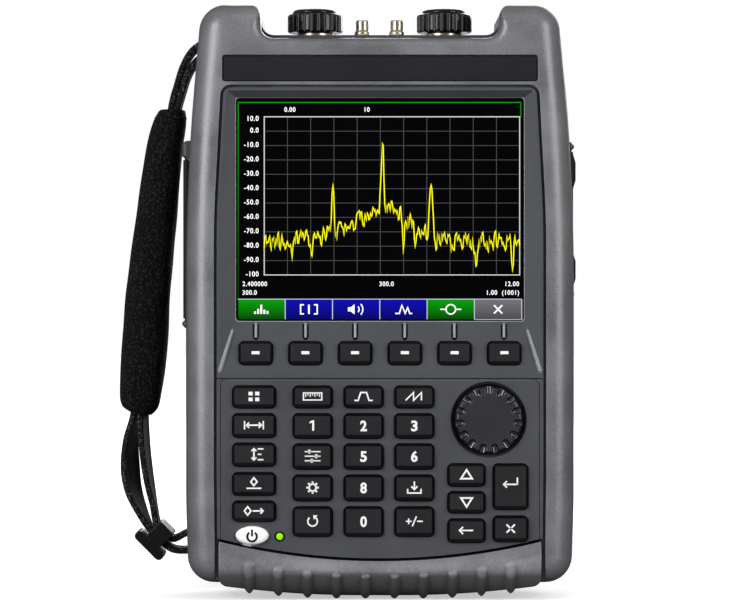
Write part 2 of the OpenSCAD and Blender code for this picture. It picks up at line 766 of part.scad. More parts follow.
module display_window() color("#101114") {
    w = window_w / 2 + glass_lap;
    h = window_h / 2 + glass_lap;
    plate(-w, w, glass_y, glass_y + glass_t, window_z - h, window_z + h, 3);
}
module lcd_module() color("#9a9da0") {
    w = window_w / 2 + 2;
    h = window_h / 2 + 1;
    slab(-w, w, lcd_y, lcd_y + lcd_t, window_z - h, window_z + h);
}
module title_strip() color("#25262b") {
    plate(-title_w / 2, title_w / 2, yf, yf + title_t, title_z - title_h / 2, title_z + title_h / 2, 1.2);
}
module border_shape(e) {
    w = pocket_w - 2 * (groove + border_w + e);
    top = seam_z - seam_gap - e;
    translate([0, top - far]) rounded(w, 2 * far, border_r - e);
}
module keypad_plate() color("#494a4e") {
    seat_w = 2.6;
    seat_x = pocket_w / 2 - ledge - 0.5;
    difference() {
        union() {
            along_y(panel_y, plate_back) intersection() {
                pocket_shape(groove);
                translate([-far * 2, 0]) square([far * 4, seam_z - seam_gap]);
                translate([0, arc_centre]) circle(arc_r - groove / 2, $fn = 180);
            }
            for (x = [-seat_x, seat_x])
                slab(x - seat_w / 2, x + seat_w / 2, plate_back, ledge_y,
                    pocket_bend_z[1] + 2, seam_z - seam_gap);
            for (p = boss_pos) rod_y(p, boss_r, plate_back, board_y);
            rod_y(knob_pos, well_r + 1.6, plate_back, well_y + well_floor);
        }
        along_y(panel_y - 1, panel_y + line_w) difference() {
            border_shape(0);
            border_shape(line_w);
        }
        along_y(panel_y - 1, plate_back + 1) for (k = panel_keys) key_hole(k);
        along_y(panel_y - 1, plate_back + 1) translate(power_pos) polygon(ellipse(power_w / 2, power_h / 2));
        rod_y(led_pos, led_r + fit, panel_y - 1, plate_back + 1);
        rod_y(knob_pos, well_r, panel_y - 1, well_y);
        rod_y(knob_pos, shaft_r + 1, panel_y - 1, board_y);
    }
}
module keypad_board() color("#1f5a37") {
    difference() {
        union() {
            along_y(board_y, board_y + board_t) intersection() {
                translate([-pocket_w / 2 + 8, 0]) square([pocket_w - 16, soft_z + 8]);
                translate([0, arc_centre]) circle(arc_r - 2.5, $fn = 180);
            }
            for (k = concat(panel_keys, soft_keys)) rod_y([k[1], k[2]], dome_r, dome_y, board_y);
            rod_y(power_pos, dome_r, dome_y, board_y);
            plate(knob_pos[0] - encoder_w / 2, knob_pos[0] + encoder_w / 2, board_y + board_t,
                board_y + board_t + encoder_t, knob_pos[1] - encoder_w / 2, knob_pos[1] + encoder_w / 2, 1);
        }
        rod_y(knob_pos, shaft_r + run, board_y - 1, board_y + board_t + encoder_t + 1);
    }
}

// Keys
module panel_key(k, front, flange_y) {
    w = k[3] - 2 * key_gap;
    h = k[4] - 2 * key_gap;
    depth = key_bevel * 1.2;
    translate([k[1], 0, k[2]]) {
        intersection() {
            along_y(front, key_back) rounded(w, h, key_r);
            along_x(-w, w) polygon([
                [key_back, -h / 2], [front + depth, -h / 2], [front, -h / 2 + key_bevel_low],
                [front, h / 2 - key_bevel], [front + depth, h / 2], [key_back, h / 2]
            ]);
            linear_extrude(2 * h, center = true) polygon([
                [-w / 2, key_back], [-w / 2, front + depth], [-w / 2 + key_bevel, front],
                [w / 2 - key_bevel, front], [w / 2, front + depth], [w / 2, key_back]
            ]);
        }
        along_y(flange_y, key_back) rounded(k[3] + 2 * key_gap, k[4] + 2 * key_gap, key_r);
    }
}
module soft_key(k) color("#2b2b2e") panel_key(k, panel_y - soft_rise, bezel_back + fit);
module plate_key(k) color("#2b2b2e") panel_key(k, panel_y - key_rise, plate_back + fit);
module power_button() color("#f4f4f4") {
    a = power_w / 2 - key_gap;
    b = power_h / 2 - key_gap;
    // How far the domed face is drawn in, and how deep that is behind its middle
    dome = [[2.4, 0], [1.2, 0.2], [0.4, 0.7], [0, 1.5]];
    translate([power_pos[0], 0, power_pos[1]]) {
        loft(concat(
            [for (d = dome) ring(ellipse(a - d[0], b - d[0]), panel_y - key_rise + d[1])],
            [ring(ellipse(a, b), key_back)]
        ));
        along_y(plate_back + fit, key_back) polygon(ellipse(a + 2 * key_gap, b + 2 * key_gap));
    }
}
module status_led() color("#a6f604") {
    rod_y(led_pos, led_r, panel_y - 0.2, board_y);
    intersection() {
        rod_y(led_pos, led_r, panel_y - 2, panel_y);
        translate([led_pos[0], panel_y + led_r * 1.5, led_pos[1]]) sphere(led_r * 1.9);
    }
}

// Knob: turned profile, shaft and finger scoops
module tuning_knob() color("#36373b") {
    scoop_r = 1.7;
    scoop_start = knob_r - 2.6;
    scoop_high = knob_front + 0.35;
    skirt_r = well_r - 1.2;
    translate([knob_pos[0], 0, knob_pos[1]]) rotate([90, 0, 0]) difference() {
        union() {
            rotate_extrude($fn = 96) polygon([
                [0, knob_back], [skirt_r, knob_back], [skirt_r, knob_front - 4.4],
                [knob_r + 0.5, knob_front - 3], [knob_r, knob_front - 0.9], [knob_r - 0.9, knob_front],
                [0, knob_front]
            ]);
            translate([0, 0, shaft_end]) cylinder(r = shaft_r, h = knob_back - shaft_end + 1);
        }
        for (i = [0:knob_scoops - 1]) rotate([0, 0, 90 + 360 * i / knob_scoops])
            translate([scoop_start, 0, scoop_high]) {
                sphere(scoop_r);
                rotate([0, 90, 0]) cylinder(r = scoop_r, h = knob_r);
            }
    }
}

// Connectors and their caps: turned profiles about upright axes
module port() {
    pin_r = 1.5;
    rotate_extrude($fn = 64) polygon([
        [0, cavity_top - fit], [tail_r, cavity_top - fit], [tail_r, gap_rear_z], [nut_r, gap_rear_z],
        [nut_r, gap_rear_z + nut_h], [port_r, gap_rear_z + nut_h], [port_r, port_top - 0.6],
        [port_r - 0.6, port_top], [port_r - 2.4, port_top], [port_r - 2.4, port_top - 6],
        [pin_r, port_top - 6], [pin_r, port_top - 1.5], [0, port_top - 1]
    ]);
}
module coaxial_jack() {
    bore_r = 2.3;
    contact_r = 0.6;
    rotate_extrude() polygon([
        [0, cavity_top - fit], [jack_tail_r, cavity_top - fit], [jack_tail_r, gap_rear_z],
        [jack_nut_r, gap_rear_z], [jack_nut_r, gap_rear_z + nut_h], [jack_r, gap_rear_z + nut_h],
        [jack_r, jack_top], [bore_r, jack_top], [bore_r, jack_top - 1.9], [contact_r, jack_top - 1.9],
        [contact_r, jack_top - 4.5], [0, jack_top - 4.5]
    ]);
}
module rf_connectors() color("#c8b899") {
    for (x = [-1, 1]) {
        translate([x * port_x, port_y, 0]) port();
        translate([x * jack_x, port_y, 0]) coaxial_jack();
    }
}
module port_cap(x) {
    flute_r = 0.95;
    ring_top = cap_top - 2.2;
    disc_r = cap_r - 2.5;
    ring_edge = 1.3;
    disc_edge = 1.6;
    translate([x, port_y, 0]) difference() {
        rotate_extrude($fn = 72) polygon(concat(
            [[0, cap_top - cap_roof], [port_r + run, cap_top - cap_roof], [port_r + run, cap_z],
             [cap_r - 0.8, cap_z], [cap_r, cap_z + 0.8]],
            [for (a = [0:18:90]) [cap_r, ring_top] + ring_edge * [cos(a) - 1, sin(a) - 1]],
            [for (a = [0:18:90]) [disc_r, cap_top] + disc_edge * [cos(a) - 1, sin(a) - 1]],
            [[0, cap_top]]
        ));
        for (i = [0:cap_flutes - 1]) rotate([0, 0, 360 * (i + 0.5) / cap_flutes])
            translate([cap_r + 0.25, 0, cap_z - 1]) cylinder(r = flute_r, h = cap_h + 2, $fn = 24);
    }
}
module left_port_cap() color("#222123") port_cap(-port_x);
module right_port_cap() color("#222123") port_cap(port_x);

// Back
module bail_stand() color("#3c3d40") {
    w = bail_w / 2;
    low = bail_hinge_z - bail_len;
    sink = 1.2;
    bar_pitch = bail_w / 6;
    difference() {
        union() {
            plate(-w, w, bail_y, bail_y + bail_t, low, bail_hinge_z, 2);
            along_x(-w, w) translate([bail_axis_y, bail_hinge_z]) circle(bail_t / 2);
        }
        plate(-w + 9, w - 9, bail_y + bail_t - sink, bail_y + bail_t + 1, low + 14, bail_hinge_z - 10, 4);
        along_x(-w - 1, w + 1) polygon([
            [bail_y + bail_t + 1, low - 1], [bail_y + bail_t + 1, low + 4], [bail_y + bail_t - 2.5, low - 1]
        ]);
    }
    for (i = [-2:2]) translate([i * bar_pitch, 0, 0])
        plate(-1.5, 1.5, bail_y + bail_t - sink - 0.1, bail_y + bail_t, low + 13, bail_hinge_z - 9, 1);
    along_x(-w - pin_len, w + pin_len) translate([bail_axis_y, bail_hinge_z]) circle(bail_pin_r);
}
module battery_door() color("#6d6e72") {
    w = battery_w / 2 - lid_gap;
    top = battery_z + battery_h - lid_gap;
    difference() {
        union() {
            plate(-w, w, battery_door_y, battery_door_y + battery_door_t, battery_axis[1] - 1, top, 1);
            along_x(-w, w) translate(battery_axis) circle(battery_door_t / 2);
        }
        slab(-w - 1, w + 1, battery_door_y - 1, battery_door_y + battery_door_t + 1,
            battery_axis[1] - 4, battery_axis[1] - battery_door_t / 2);
        difference() {
            slab(-w - 1, w + 1, battery_door_y - 1, battery_door_y + battery_door_t + 1,
                battery_axis[1] - 4, battery_axis[1]);
            along_x(-w - 2, w + 2) translate(battery_axis) circle(battery_door_t / 2);
        }
        rod_y([0, latch_z], latch_r + run, battery_door_y - 1, battery_door_y + battery_door_t + 1);
    }
    along_x(-w - pin_len, w + pin_len) translate(battery_axis) circle(battery_pin_r);
}
module battery_latch() color("#3a3b3e") {
    rod_y([0, latch_z], latch_r, battery_door_y - run - latch_flange, back_y - 0.2);
    rod_y([0, latch_z], latch_r + latch_flange, battery_door_y - run - latch_flange, battery_door_y - run);
}
module battery_pack() color("#2b3038") {
    plate(-battery_w / 2 + 1.5, battery_w / 2 - 1.5, bay_floor, bay_floor + pack_t,
        battery_z + fit, battery_z + battery_h - 3, 2);
}
module main_board() color("#1f5a37") {
    slab(-cavity_w / 2 + 5, cavity_w / 2 - 5, main_y, main_y + board_t, main_z[0], main_z[1]);
    for (c = chips) along_y(main_y - c[3], main_y) translate([c[0], c[1]]) rounded(c[2], c[2], 1);
}
module rf_module() color("#b9bbbd") {
    top = cavity_top - 2 * fit;
    plate(-module_size[0] / 2, module_size[0] / 2, cavity_y - module_size[1], cavity_y,
        top - module_size[2], top, 3);
}
module housing_screws() color("#6e6f72") {
    for (x = [-1, 1], z = screw_z) {
        rod_y([x * screw_x, z], screw_r, screw_tip, screw_seat + 1);
        difference() {
            rod_y([x * screw_x, z], screw_head_r, screw_seat, screw_seat + screw_head_h);
            along_y(screw_seat + 1.2, screw_seat + screw_head_h + 1)
                translate([x * screw_x, z]) circle(1.5, $fn = 6);
        }
    }
}

// Side doors, drawn on the right side
module io_door(out, z0, h) {
    axis_x = out - door_barrel_r;
    end = hinge_y + door_len;
    difference() {
        slab(door_in, out, hinge_y, end, z0, z0 + h);
        slab(out - 1.2, out + 1, end - 1.2, end + 1, z0 - 1, z0 + h + 1);
    }
    rod_z([axis_x, hinge_y], door_barrel_r, z0, z0 + h);
    rod_z([axis_x, hinge_y], door_pin_r, z0 - door_pin_len, z0 + h + door_pin_len);
}
module left_io_door() color("#2a2a2c") mirror([1, 0, 0]) io_door(left_door_out, left_door_z, left_door_h);
module right_io_door() color("#2a2a2c") {
    io_door(right_door_out, right_door_z, right_door_h);
    for (z = [right_door_z, right_door_z + right_door_h - tab_h])
        along_y(hinge_y + 5, hinge_y + door_len - 4) translate([right_door_out, z]) polygon([
            [-1, 0], [0.2, 0.3], [tab_rise, tab_end],
            [tab_rise, tab_h - tab_end], [0.2, tab_h - 0.3], [-1, tab_h]
        ]);
}
bay_mid = (bay_y[0] + bay_y[1]) / 2;
// Side sockets: shell and mouth, each depth by height, or radii of shell and hole
mouth_depth = 7;
network_size = [[12, 16], [10, 12]];
network_drop = 16;
usb_size = [[8, 14.5], [5.4, 12.4]];
supply_r = [5, 3.2];
supply_rise = 15;
card_size = [[6, 27], [2.4, 24.6]];
card_drop = 19;
mini_size = [[6, 10], [3, 7.6]];
audio_r = [4, 1.8];
audio_rise = 11;
module socket(z, size) {
    x1 = bay_in + jack_depth;
    difference() {
        along_x(bay_in, x1) translate([bay_mid, z]) square(size[0], center = true);
        along_x(x1 - mouth_depth, x1 + 1) translate([bay_mid, z]) square(size[1], center = true);
    }
}
module round_socket(z, r) {
    translate([bay_in, bay_mid, z]) rotate([0, 90, 0]) difference() {
        cylinder(r = r[0], h = jack_depth);
        translate([0, 0, 1]) cylinder(r = r[1], h = jack_depth);
    }
}
module io_jacks() color("#8f9194") {
    mirror([1, 0, 0]) {
        socket(left_door_z + left_door_h - network_drop, network_size);
        socket(left_door_z + left_door_h / 2 + 2, usb_size);
        round_socket(left_door_z + supply_rise, supply_r);
    }
    socket(right_door_z + right_door_h - card_drop, card_size);
    socket(right_door_z + right_door_h / 2 - 7.5, mini_size);
    round_socket(right_door_z + audio_rise, audio_r);
}

// Hand strap: a flat band swept along its route, a padded sleeve, and a slide buckle
function spline(p, i, t) =
    let (
        last = len(p) - 1,
        a = p[max(0, i - 1)],
        b = p[i],
        c = p[i + 1],
        d = p[min(last, i + 2)]
    )
    0.5 * (2 * b + (c - a) * t + (2 * a - 5 * b + 4 * c - d) * t * t + (3 * b - a - 3 * c + d) * t * t * t);
function smooth_line(p, steps) = concat(
    [for (i = [0:len(p) - 2], k = [0:steps - 1]) spline(p, i, k / steps)], [p[len(p) - 1]]
);
module band(line, width, thick) {
    last = len(line) - 1;
    loft([
        for (i = [0:last])
            let (
                p = line[i],
                run = line[min(last, i + 1)] - line[max(0, i - 1)],
                along = unit([run[0], run[1]]),
                out = [-along[1], 0, along[0]],
                mid = [p[0], strap_y, p[1]],
                off = thick / 2 * (cos(p[2]) * out - sin(p[2]) * [0, 1, 0]),
                half = width / 2 * (cos(p[2]) * [0, 1, 0] + sin(p[2]) * out)
            )
            [mid + off - half, mid + off + half, mid - off + half, mid - off - half]
    ]);
}
web_line = smooth_line(route, route_steps);
function part_of(line, z0, z1) = [for (p = smooth_line(line, route_steps)) if (p[1] > z0 && p[1] < z1) p];
function last_of(line) = line[len(line) - 1];
module strap_webbing() color("#1b1b1c") band(web_line, web_w, web_t);
module strap_sleeve() color("#161617") {
    rings = smooth_line(sleeve_line, 2);
    difference() {
        loft([
            for (s = rings) [
                for (i = [0:sleeve_sides - 1])
                    let (a = 360 * i / sleeve_sides)
                    [s[0] + s[2] * cos(a), strap_y + (s[2] / 11 * 0.4 + 0.6) * sleeve_d / 2 * sin(a), s[1]]
            ]
        ]);
        slot_w = web_w + slot_gap;
        slot_t = web_t + slot_gap;
        low = sleeve_line[len(sleeve_line) - 1][1];
        high = sleeve_line[0][1];
        hung = concat([slack_line[0] + [0, 3, 0]], part_of(slack_line, low - far / 8, far * 2));
        tucked = concat(part_of(back_line, far * 3, high + far / 8), [last_of(back_line) - [0.6, 3, 0]]);
        band(part_of(grip_line, low - far / 4, high + far / 4), slot_w, slot_t);
        band(hung, slot_w, slot_t);
        band(tucked, slot_w, slot_t);
    }
}
module strap_buckle() color("#131314") {
    slot = web_t + slot_gap;
    slot_w = web_w + slot_gap;
    translate([buckle_pos[0], strap_y, buckle_pos[1]]) rotate([0, buckle_turn, 0]) difference() {
        along_y(-buckle_d / 2, buckle_d / 2) {
            rounded(block_size[0], block_size[1], block_r);
            translate([0, guard_z]) rounded(guard_size[0], guard_size[1], guard_size[1] / 2 - 0.05);
            translate([0, guard_z / 2]) square([neck_w, -guard_z], center = true);
        }
        for (z = [-strand_off, strand_off]) translate([0, 0, z])
            slab(-block_size[0], block_size[0], -slot_w / 2, slot_w / 2, -slot / 2, slot / 2);
    }
}

front_housing();
rear_housing();
end_cap();
display_bezel();
display_window();
lcd_module();
title_strip();
keypad_plate();
keypad_board();
main_board();
rf_module();
battery_pack();
rf_connectors();
io_jacks();
housing_screws();
status_led();
strap_webbing();
strap_sleeve();
strap_buckle();
tuning_knob();
left_port_cap();
right_port_cap();
bail_stand();
battery_door();
battery_latch();
left_io_door();
right_io_door();
power_button();
for (k = soft_keys) soft_key(k);
for (k = panel_keys) plate_key(k);
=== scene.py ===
"""Looks of the handheld spectrum analyzer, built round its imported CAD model.

Everything stands in the CAD frame in metres: +Z is up, the user looks along +Y, and the ground is at z = 0.
Sizes are written in millimetres and multiplied by MM.
"""
import random
from math import cos, exp, pi, radians, sin, sqrt

import bmesh
import bpy
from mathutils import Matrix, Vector
from mathutils.bvhtree import BVHTree


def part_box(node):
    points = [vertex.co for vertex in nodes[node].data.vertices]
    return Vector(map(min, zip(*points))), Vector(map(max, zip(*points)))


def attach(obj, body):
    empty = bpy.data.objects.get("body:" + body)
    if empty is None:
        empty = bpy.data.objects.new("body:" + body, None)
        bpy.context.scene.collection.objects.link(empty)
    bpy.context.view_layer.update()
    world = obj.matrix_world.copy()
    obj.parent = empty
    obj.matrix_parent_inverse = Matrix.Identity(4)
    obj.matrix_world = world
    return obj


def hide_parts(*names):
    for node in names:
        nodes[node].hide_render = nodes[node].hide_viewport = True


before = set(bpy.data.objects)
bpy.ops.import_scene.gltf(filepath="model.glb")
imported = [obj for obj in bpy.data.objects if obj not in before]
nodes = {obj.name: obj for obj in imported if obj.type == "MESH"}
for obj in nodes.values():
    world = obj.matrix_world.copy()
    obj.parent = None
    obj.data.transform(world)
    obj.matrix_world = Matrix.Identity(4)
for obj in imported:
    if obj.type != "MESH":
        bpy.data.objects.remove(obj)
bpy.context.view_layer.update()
scene = bpy.context.scene
MM = 0.001
AWAY = Vector((0, 1, 0))

# Camera: level with the middle of the body, as in the photograph
CAMERA_DISTANCE, CAMERA_X, CAMERA_Z = 1450, -6.5, 145
IMAGE_PIXELS, MM_PER_PIXEL = 733, 0.4924
camera_data = bpy.data.cameras.new("camera")
camera_data.sensor_fit = "HORIZONTAL"
camera_data.sensor_width = 36
camera_data.lens = camera_data.sensor_width * CAMERA_DISTANCE / (IMAGE_PIXELS * MM_PER_PIXEL)
camera = bpy.data.objects.new("camera", camera_data)
camera.location = Vector((CAMERA_X, -CAMERA_DISTANCE, CAMERA_Z)) * MM
camera.rotation_euler = (radians(90), 0, 0)
scene.collection.objects.link(camera)
scene.camera = camera
scene.view_settings.view_transform = "Standard"


# Materials

def linear(code, gain=1.0):
    """The linear colour of an sRGB hex code, brightened or dimmed by gain."""
    channels = [int(code[i:i + 2], 16) / 255 for i in (1, 3, 5)]
    return [gain * (c / 12.92 if c <= 0.04045 else ((c + 0.055) / 1.055) ** 2.4) for c in channels] + [1.0]


def put(tree, kind, links=None, **settings):
    """Adds a shader node with settings; links feeds its inputs values, sockets or nodes' first outputs."""
    made = tree.nodes.new("ShaderNode" + kind)
    for name, value in settings.items():
        setattr(made, name, value)
    for name, value in (links or {}).items():
        if isinstance(value, bpy.types.Node):
            value = value.outputs[0]
        if isinstance(value, bpy.types.NodeSocket):
            tree.links.new(value, made.inputs[name])
        else:
            made.inputs[name].default_value = value
    return made


def tones(tree, drive, low, high, start=0.3, end=0.7):
    """Colour between two tones, driven by a pattern."""
    ramp = put(tree, "ValToRGB", {"Fac": drive})
    for stop, place, tone in zip(ramp.color_ramp.elements, (start, end), (low, high)):
        stop.position = place
        stop.color = tone
    return ramp


def blank(name):
    """A new material with an empty node tree."""
    material = bpy.data.materials.new(name)
    material.use_nodes = True
    material.node_tree.nodes.clear()
    return material, material.node_tree


# Moulded finishes: clouds in mm, the grain's share in the tone, the cosines between which an edge is painted
# paler, as wear and as a painted highlight
CLOUD, GRAIN_SHARE, EDGE_WEAR_AND_HIGHLIGHT, PALER, STRAY = 22, 0.65, (0.995, 0.86), 2.4, 0.06


def moulded(name, code, roughness, grain=0.9, depth=0.03, mottle=0.07, edge_wear_and_highlight=0.25, edge=0.35, shine=0.5,
            coat=0.0, sides=None, turned=(0.93, 0.8)):
    """A moulded or printed finish: fine grain, a cloudy tone, and edges of that radius in mm painted paler,
    partly as wear and partly as a painted highlight.

    Sizes are in mm. Real grains are near 0.2 mm, and are drawn coarser so that they show. The sides can get
    a darker colour as painted shade, on faces that don't look to the front; it comes in between the cosines
    of turned.
    """
    material, tree = blank(name)
    place = put(tree, "TexCoord").outputs["Object"]
    fine = put(tree, "TexNoise", {
        "Vector": place, "Scale": 1 / (grain * MM), "Detail": 2.0, "Roughness": 0.6})
    cloud = put(tree, "TexNoise", {"Vector": place, "Scale": 1 / (CLOUD * MM), "Detail": 3.0})
    both = put(tree, "Math", {0: fine, 1: GRAIN_SHARE, 2: cloud}, operation="MULTIPLY_ADD")
    base = tones(tree, both, linear(code, 1 - mottle), linear(code, 1 + mottle), 0.6, 1.0)
    soft = put(tree, "Bevel", {"Radius": edge * MM}, samples=4)
    flat = put(tree, "NewGeometry").outputs["Normal"]
    turn = put(tree, "VectorMath", {0: soft, 1: flat}, operation="DOT_PRODUCT")
    # Painted highlight and wear: edges are mixed towards a paler tone of the colour
    wear_and_highlight = put(tree, "MapRange", {
        "Value": turn.outputs["Value"], "From Min": EDGE_WEAR_AND_HIGHLIGHT[0], "From Max": EDGE_WEAR_AND_HIGHLIGHT[1], "To Max": edge_wear_and_highlight})
    colour = put(tree, "Mix", {0: wear_and_highlight, 6: base, 7: linear(code, PALER)}, data_type="RGBA")
    # Painted shade: faces turned from the front are mixed towards the darker sides colour
    if sides:
        front = put(tree, "SeparateXYZ", {0: flat}).outputs["Y"]
        painted_shade_share = put(tree, "MapRange", {"Value": front, "From Min": -turned[0], "From Max": -turned[1]})
        colour = put(tree, "Mix", {0: painted_shade_share, 6: colour.outputs[2], 7: linear(sides)}, data_type="RGBA")
    dull = put(tree, "MapRange", {
        "Value": both, "From Min": 0.5, "From Max": 1.15,
        "To Min": roughness - STRAY, "To Max": roughness + STRAY})
    relief = put(tree, "Bump", {"Height": fine, "Strength": 0.5, "Distance": depth * MM, "Normal": soft})
    put(tree, "OutputMaterial", {"Surface": put(tree, "BsdfPrincipled", {
        "Base Color": colour.outputs[2], "Roughness": dull, "Normal": relief,
        "Specular IOR Level": shine, "Coat Weight": coat, "Coat Roughness": 0.12})})
    return material


def metal(name, code, roughness, mark=5, streak=(1, 1, 40)):
    """A metal: tone and gloss run in marks of that size in mm, drawn out by its finishing along one way.

    streak says how many times shorter the marks are along x, y and z.
    """
    material, tree = blank(name)
    place = put(tree, "TexCoord").outputs["Object"]
    drawn = put(tree, "VectorMath", {0: place, 1: streak}, operation="MULTIPLY")
    marks = put(tree, "TexNoise", {"Vector": drawn, "Scale": 1 / (mark * MM), "Detail": 3.0})
    gloss = put(tree, "MapRange", {"Value": marks, "To Min": roughness - 0.08, "To Max": roughness + 0.1})
    relief = put(tree, "Bump", {"Height": marks, "Strength": 0.15, "Distance": 0.01 * MM})
    put(tree, "OutputMaterial", {"Surface": put(tree, "BsdfPrincipled", {
        "Base Color": tones(tree, marks, linear(code, 0.82), linear(code, 1.12)),
        "Metallic": 1.0, "Roughness": gloss, "Normal": relief})})
    return material


def lit(name, top, foot=None, strength=1.0):
    """Lit screen pixels, which glow in one colour at the top of the piece and another at its foot."""
    material, tree = blank(name)
    height = put(tree, "SeparateXYZ", {0: put(tree, "TexCoord").outputs["Generated"]}).outputs["Z"]
    glow = tones(tree, height, linear(foot) if foot else linear(top, 0.94), linear(top), 0.0, 1.0)
    put(tree, "OutputMaterial", {"Surface": put(tree, "BsdfPrincipled", {
        "Base Color": linear("#020202"), "Roughness": 0.3, "Specular IOR Level": 0.1,
        "Emission Color": glow, "Emission Strength": strength})})
    return material


# Front housing: polycarbonate blend from a spark-eroded tool; a dry grain and a broad soft shine on the rails
# Painted shade on faces turned from the front, and edges painted paler as a painted highlight
housing_grey = moulded(
    "polycarbonate_moulded_grey", "#67686b", 0.34, grain=1.0, depth=0.14, mottle=0.28, edge=0.7, shine=0.75,
    sides="#4d4e51", turned=(0.96, 0.3))
# Rear housing: the same blend in a darker grey, which shows as a dark line outside the seam
rear_grey = moulded("polycarbonate_moulded_dark_grey", "#36373a", 0.46, depth=0.06, edge_wear_and_highlight=0.2, edge=0.6)
# End cap: the same blend with a coarser grain; its ribs look rounded over, their edges are painted paler as
# scuffs and as a painted highlight, and faces turned from the front get painted shade
bumper_grey = moulded(
    "polycarbonate_bumper_grained", "#79797c", 0.34, grain=1.1, depth=0.14, mottle=0.28, edge_wear_and_highlight=0.35, edge=0.9,
    shine=0.8, sides="#4c4c4f", turned=(0.99, 0.93))
# Bezel: ABS moulded in a smooth tool, a satin dark grey that shows its mitred slopes, with edges painted pale
# as a painted highlight
bezel_grey = moulded(
    "abs_satin_dark_grey", "#484a4d", 0.55, grain=0.7, depth=0.02, mottle=0.06, edge_wear_and_highlight=0.8, edge=0.4, shine=0.15)
# Keypad plate: ABS with a fine texture that takes the shine off; the rims of its key holes are painted pale
# as a painted highlight
plate_grey = moulded(
    "abs_textured_dark_grey", "#444549", 0.55, depth=0.05, mottle=0.12, edge_wear_and_highlight=0.8, edge=0.4, shine=0.3)
# Keys: silicone rubber with a hard lacquer on their faces, thin edges painted bright as a painted highlight,
# and sides painted near black as painted shade
key_black = moulded(
    "silicone_lacquered_black", "#232326", 0.42, grain=0.8, depth=0.015, mottle=0.1, edge_wear_and_highlight=0.5, edge=0.4,
    shine=0.25, sides="#040405")
# Knob: soft-touch rubber over a core; its flat face looks dull and its scoops glint like wet rubber; faces
# turned from the front, the scoops' walls, are painted near black as painted shade
knob_rubber = moulded(
    "rubber_soft_touch_charcoal", "#2b2c30", 0.22, grain=0.8, depth=0.02, mottle=0.08, edge_wear_and_highlight=0.3, edge=0.6,
    shine=0.9, sides="#0a0a0b")
# Port caps: glossy black nylon with mirror-like streaks down the flutes
cap_black = moulded(
    "nylon_gloss_black", "#050506", 0.13, grain=1.5, depth=0.004, mottle=0.1, edge_wear_and_highlight=0.1, edge=0.3, shine=0.38)
# Title strip: satin polyester film in dark slate, printed edge to edge
title_film = moulded(
    "polyester_film_slate", "#1b1c20", 0.5, grain=0.6, depth=0.008, mottle=0.05, edge_wear_and_highlight=0.1, shine=0.2)
# Side doors: dull black rubber that hardly shines at a low angle
door_rubber = moulded("rubber_moulded_black", "#1d1d1f", 0.62, grain=1.0, mottle=0.1, edge_wear_and_highlight=0.15, shine=0.12)
# Tilt stand and catch: glass-filled nylon, charcoal and slightly mottled
stand_nylon = moulded("nylon_glass_filled_charcoal", "#2c2d30", 0.5, grain=1.1, mottle=0.12)
# Battery door: the rear housing's blend, from a flatter and therefore smoother tool
lid_grey = moulded("polycarbonate_lid_dark_grey", "#3d3e41", 0.5, grain=1.0, depth=0.04, mottle=0.06, edge_wear_and_highlight=0.2)
# Battery pack: black-blue ABS, plain and satin
pack_abs = moulded("abs_battery_slate", "#20242b", 0.5, grain=1.0, depth=0.02)
# Buckle: acetal, black, with a waxy shine and edges painted paler as a painted highlight
buckle_acetal = moulded(
    "acetal_moulded_black", "#0b0b0c", 0.28, grain=1.0, depth=0.01, mottle=0.08, edge_wear_and_highlight=0.7, edge=0.8, shine=0.4)
# Power button: white polycarbonate with a satin face
button_white = moulded(
    "polycarbonate_satin_white", "#fcfcfc", 0.4, grain=0.8, depth=0.008, mottle=0.02, edge_wear_and_highlight=0.0)
# Pointer bars, window rim and ridges: the bezel's ABS from a polished part of the tool, glossy to catch the
# light, painted light grey: a painted highlight on the rim and ridges, and a pale mark on the pointer bars
painted_highlight_grey = moulded("abs_painted_highlight_grey", "#8e8f92", 0.26, grain=0.8, depth=0.004, mottle=0.04, edge_wear_and_highlight=0.2)
# Grooves round the pointer bars, the lamp and the title strip: near-black strips of painted shade, laid where
# the ABS is in deep shade
painted_groove_shade = moulded(
    "abs_painted_groove_shade", "#0c0c0d", 0.6, grain=0.8, depth=0.01, mottle=0.05, edge_wear_and_highlight=0.0, shine=0.1)
# Circuit boards: glass-fibre laminate under green solder resist, with a thin varnish shine
board_green = moulded("glass_fibre_board_green", "#174a2c", 0.4, grain=0.6, depth=0.02, mottle=0.14, coat=0.3)
# Connectors: turned brass with a warm nickel plating and fine lathe rings
nickel = metal("brass_nickel_plated_turned", "#c6bba9", 0.28, mark=4)
# Contact pins: turned brass, gold flashed, for a small warm glint
gold = metal("brass_gold_flashed", "#d9a441", 0.22)
# Socket shells: pressed tinned steel, with a dull grey shine
steel = metal("steel_pressed_tinned", "#9a9c9e", 0.34, streak=(1, 40, 1))
# Screws: black-oxide steel, dark and slightly oily
screw_black = metal("steel_black_oxide", "#3a3a3c", 0.42, streak=(1, 1, 1))
# Module box and screen frame: milled aluminium with an even tool lay
aluminium = metal("aluminium_milled", "#b4b6b8", 0.36, streak=(40, 1, 1))
# Insulators: white fluoropolymer, waxy
insulator = moulded(
    "fluoropolymer_turned_white", "#e4e2dc", 0.45, grain=0.6, depth=0.01, mottle=0.03, edge_wear_and_highlight=0.0)
# Legends: white ink, pad printed, satin
ink_white = moulded("ink_pad_printed_white", "#f4f4f4", 0.5, grain=0.5, depth=0.005, mottle=0.02, edge_wear_and_highlight=0.0)
# Power symbol: black ink, pad printed, satin
ink_black = moulded("ink_pad_printed_black", "#0d0d0f", 0.5, grain=0.5, depth=0.005, mottle=0.03, edge_wear_and_highlight=0.0)
